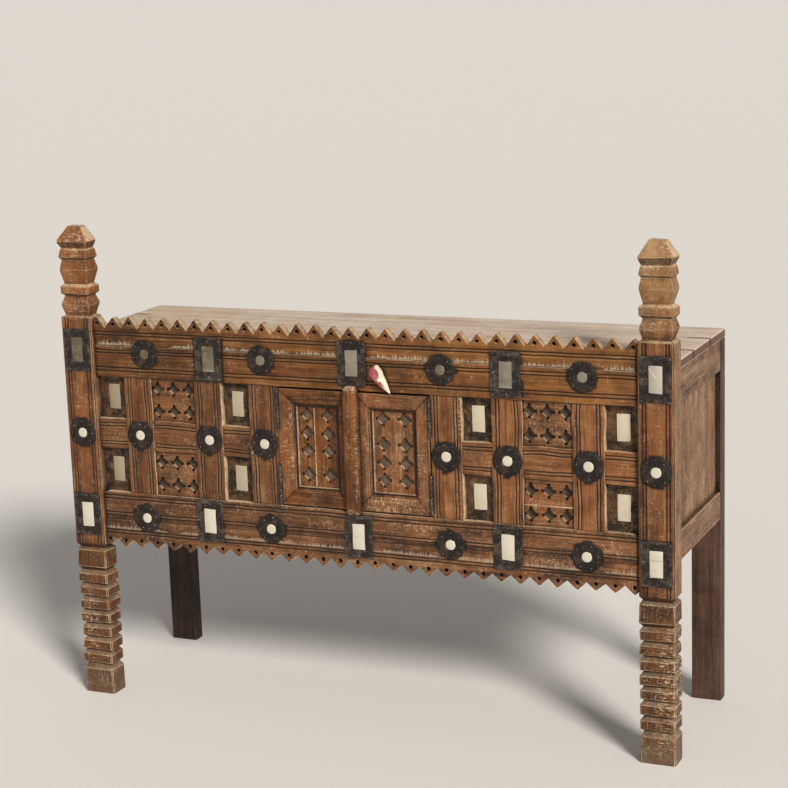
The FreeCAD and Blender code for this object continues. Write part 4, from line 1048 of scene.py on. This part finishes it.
lower_glass, upper_glass = glass_boxes[-2:]
bright_crack = plain_finish("bright_glass_crack", "#FBF8F0", 0.4)
dark_crack = plain_finish("dark_glass_crack", "#4A4036", 0.7)
cracks("bright_crack", bright_crack, upper_glass,
       [((0.03, 0.90), (0.16, 0.80), (0.32, 0.68), (0.46, 0.60), (0.62, 0.55))])
cracks("dark_crack_upper", dark_crack, upper_glass,
       [((0.97, 0.30), (0.86, 0.22), (0.76, 0.12), (0.70, 0.02))])
cracks("dark_crack_lower", dark_crack, lower_glass,
       [((0.02, 0.66), (0.3, 0.62), (0.62, 0.62), (0.97, 0.65)),
        ((0.22, 0.15), (0.5, 0.30), (0.72, 0.42), (0.97, 0.50)), ((0.36, 0.28), (0.44, 0.22))])


# Turn button: a whittled peg, red in front and cream on its right flank

whittling_rounds = 5
whittle_drift, whittle_reach = 3.0 * MM, 16 * MM
bm = merged("turn_button")
bmesh.ops.triangulate(bm, faces=bm.faces[:])
bmesh.ops.subdivide_edges(bm, edges=bm.edges[:], cuts=3, use_grid_fill=True)
for _ in range(whittling_rounds):
    bmesh.ops.smooth_vert(bm, verts=bm.verts[:], factor=0.5, use_axis_x=True, use_axis_y=False,
                          use_axis_z=True)
wander(bm, whittle_drift, whittle_reach, button_front)
flank = bm.loops.layers.float.new("flank")
for face in bm.faces:
    for loop in face.loops:
        loop[flank] = 1.0 if face.normal.x > 0.3 else 0.0
finished("whittled_turn_button", bm, peg_paint, "turn_button", ("turn_button",),
         smooth=True)


# Painted shade: how shut in each point of the timber is, kept as an attribute

nook_reach = 22 * MM
ray_count = 12
ray_start = 0.3 * MM


def spread_rays(count):
    """Directions spread evenly over the half round above a surface."""
    rays = []
    for i in range(count):
        rise = (i + 0.5) / count
        turn = i * math.pi * (3 - math.sqrt(5))
        flat = math.sqrt(1 - rise * rise)
        rays.append(Vector((math.cos(turn) * flat, math.sin(turn) * flat, rise)))
    return rays


def bake_nook_shade(pieces, around, reach, rays):
    """Casts rays out of every point; what meets another surface near by counts as painted shade there."""
    points = []
    faces = []
    for piece in around:
        base = len(points)
        points += [v.co for v in piece.data.vertices]
        faces += [[base + i for i in p.vertices] for p in piece.data.polygons]
    solid = BVHTree.FromPolygons(points, faces)
    for piece in pieces:
        values = []
        for vert in piece.data.vertices:
            turned = vert.normal.to_track_quat("Z", "Y")
            start = vert.co + vert.normal * ray_start
            met = 0.0
            for ray in rays:
                place, _, _, distance = solid.ray_cast(start, turned @ ray, reach)
                if place is not None:
                    met += 1.0 - 0.5 * distance / reach
            values.append(met / len(rays))
        nook_shade = piece.data.attributes.new("nook_shade", "FLOAT", "POINT")
        nook_shade.data.foreach_set("value", values)


dressed = [o for o in scene.objects if o.type == "MESH" and o.name not in frame["nodes"]]
bake_nook_shade(timbers, dressed, nook_reach, spread_rays(ray_count))


# Floor, light and camera

floor_half = 600.0
floor_mesh = bpy.data.meshes.new("pale_floor")
bm = bmesh.new()
bmesh.ops.create_grid(bm, x_segments=1, y_segments=1, size=floor_half)
bm.to_mesh(floor_mesh)
bm.free()
floor = bpy.data.objects.new("pale_floor", floor_mesh)
scene.collection.objects.link(floor)
floor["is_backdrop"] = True
floor_mesh.materials.append(plain_finish("pale_floor_paint", "#F6F4F1", 0.85))

# What the camera and reflections see of the backdrop is paler than the light it gives
world = bpy.data.worlds.new("studio")
scene.world = world
world.use_nodes = True
tree = world.node_tree
tree.nodes.clear()
seen = node(tree, "LightPath")
shown = seen["Is Camera Ray"]
for kind in ("Is Glossy Ray", "Is Transmission Ray"):
    shown = node(tree, "Math", {0: shown, 1: seen[kind]}, operation="ADD", use_clamp=True)[0]
lit = node(tree, "Background", {"Color": linear("#F4F0EA"), "Strength": 0.26})
backdrop = node(tree, "Background", {"Color": linear("#ECEAE6"), "Strength": 0.8})
both = node(tree, "MixShader", {0: shown, 1: lit[0], 2: backdrop[0]})
node(tree, "OutputWorld", {"Surface": both[0]})

key_place = Vector((3.0, -2.9, 3.0))
key_target = Vector((0.0, 0.0, 0.5))
key_light = bpy.data.lights.new("key", "SUN")
key_light.energy = 3.3
key_light.color = linear("#FFF9F1")[:3]
key_light.angle = math.radians(14)
key = bpy.data.objects.new("key", key_light)
key.location = key_place
key.rotation_euler = (key_target - key_place).to_track_quat("-Z", "Y").to_euler()
scene.collection.objects.link(key)

# The camera's place and angles, as fitted to the photograph
camera_place = Vector((1.8825, -4.2397, 1.7432))
camera_heading = math.radians(23.802)
camera_tilt = math.radians(12.054)
camera_roll = math.radians(-1.956)
camera_data = bpy.data.cameras.new("camera")
camera_data.lens = 91.44
camera_data.clip_end = 2000.0
camera = bpy.data.objects.new("camera", camera_data)
camera.matrix_world = (Matrix.Translation(camera_place) @ Matrix.Rotation(camera_heading, 4, "Z")
                       @ Matrix.Rotation(math.pi / 2 - camera_tilt, 4, "X")
                       @ Matrix.Rotation(camera_roll, 4, "Z"))
scene.collection.objects.link(camera)
scene.camera = camera
bpy.context.scene.view_settings.view_transform = "Standard"

low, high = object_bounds()
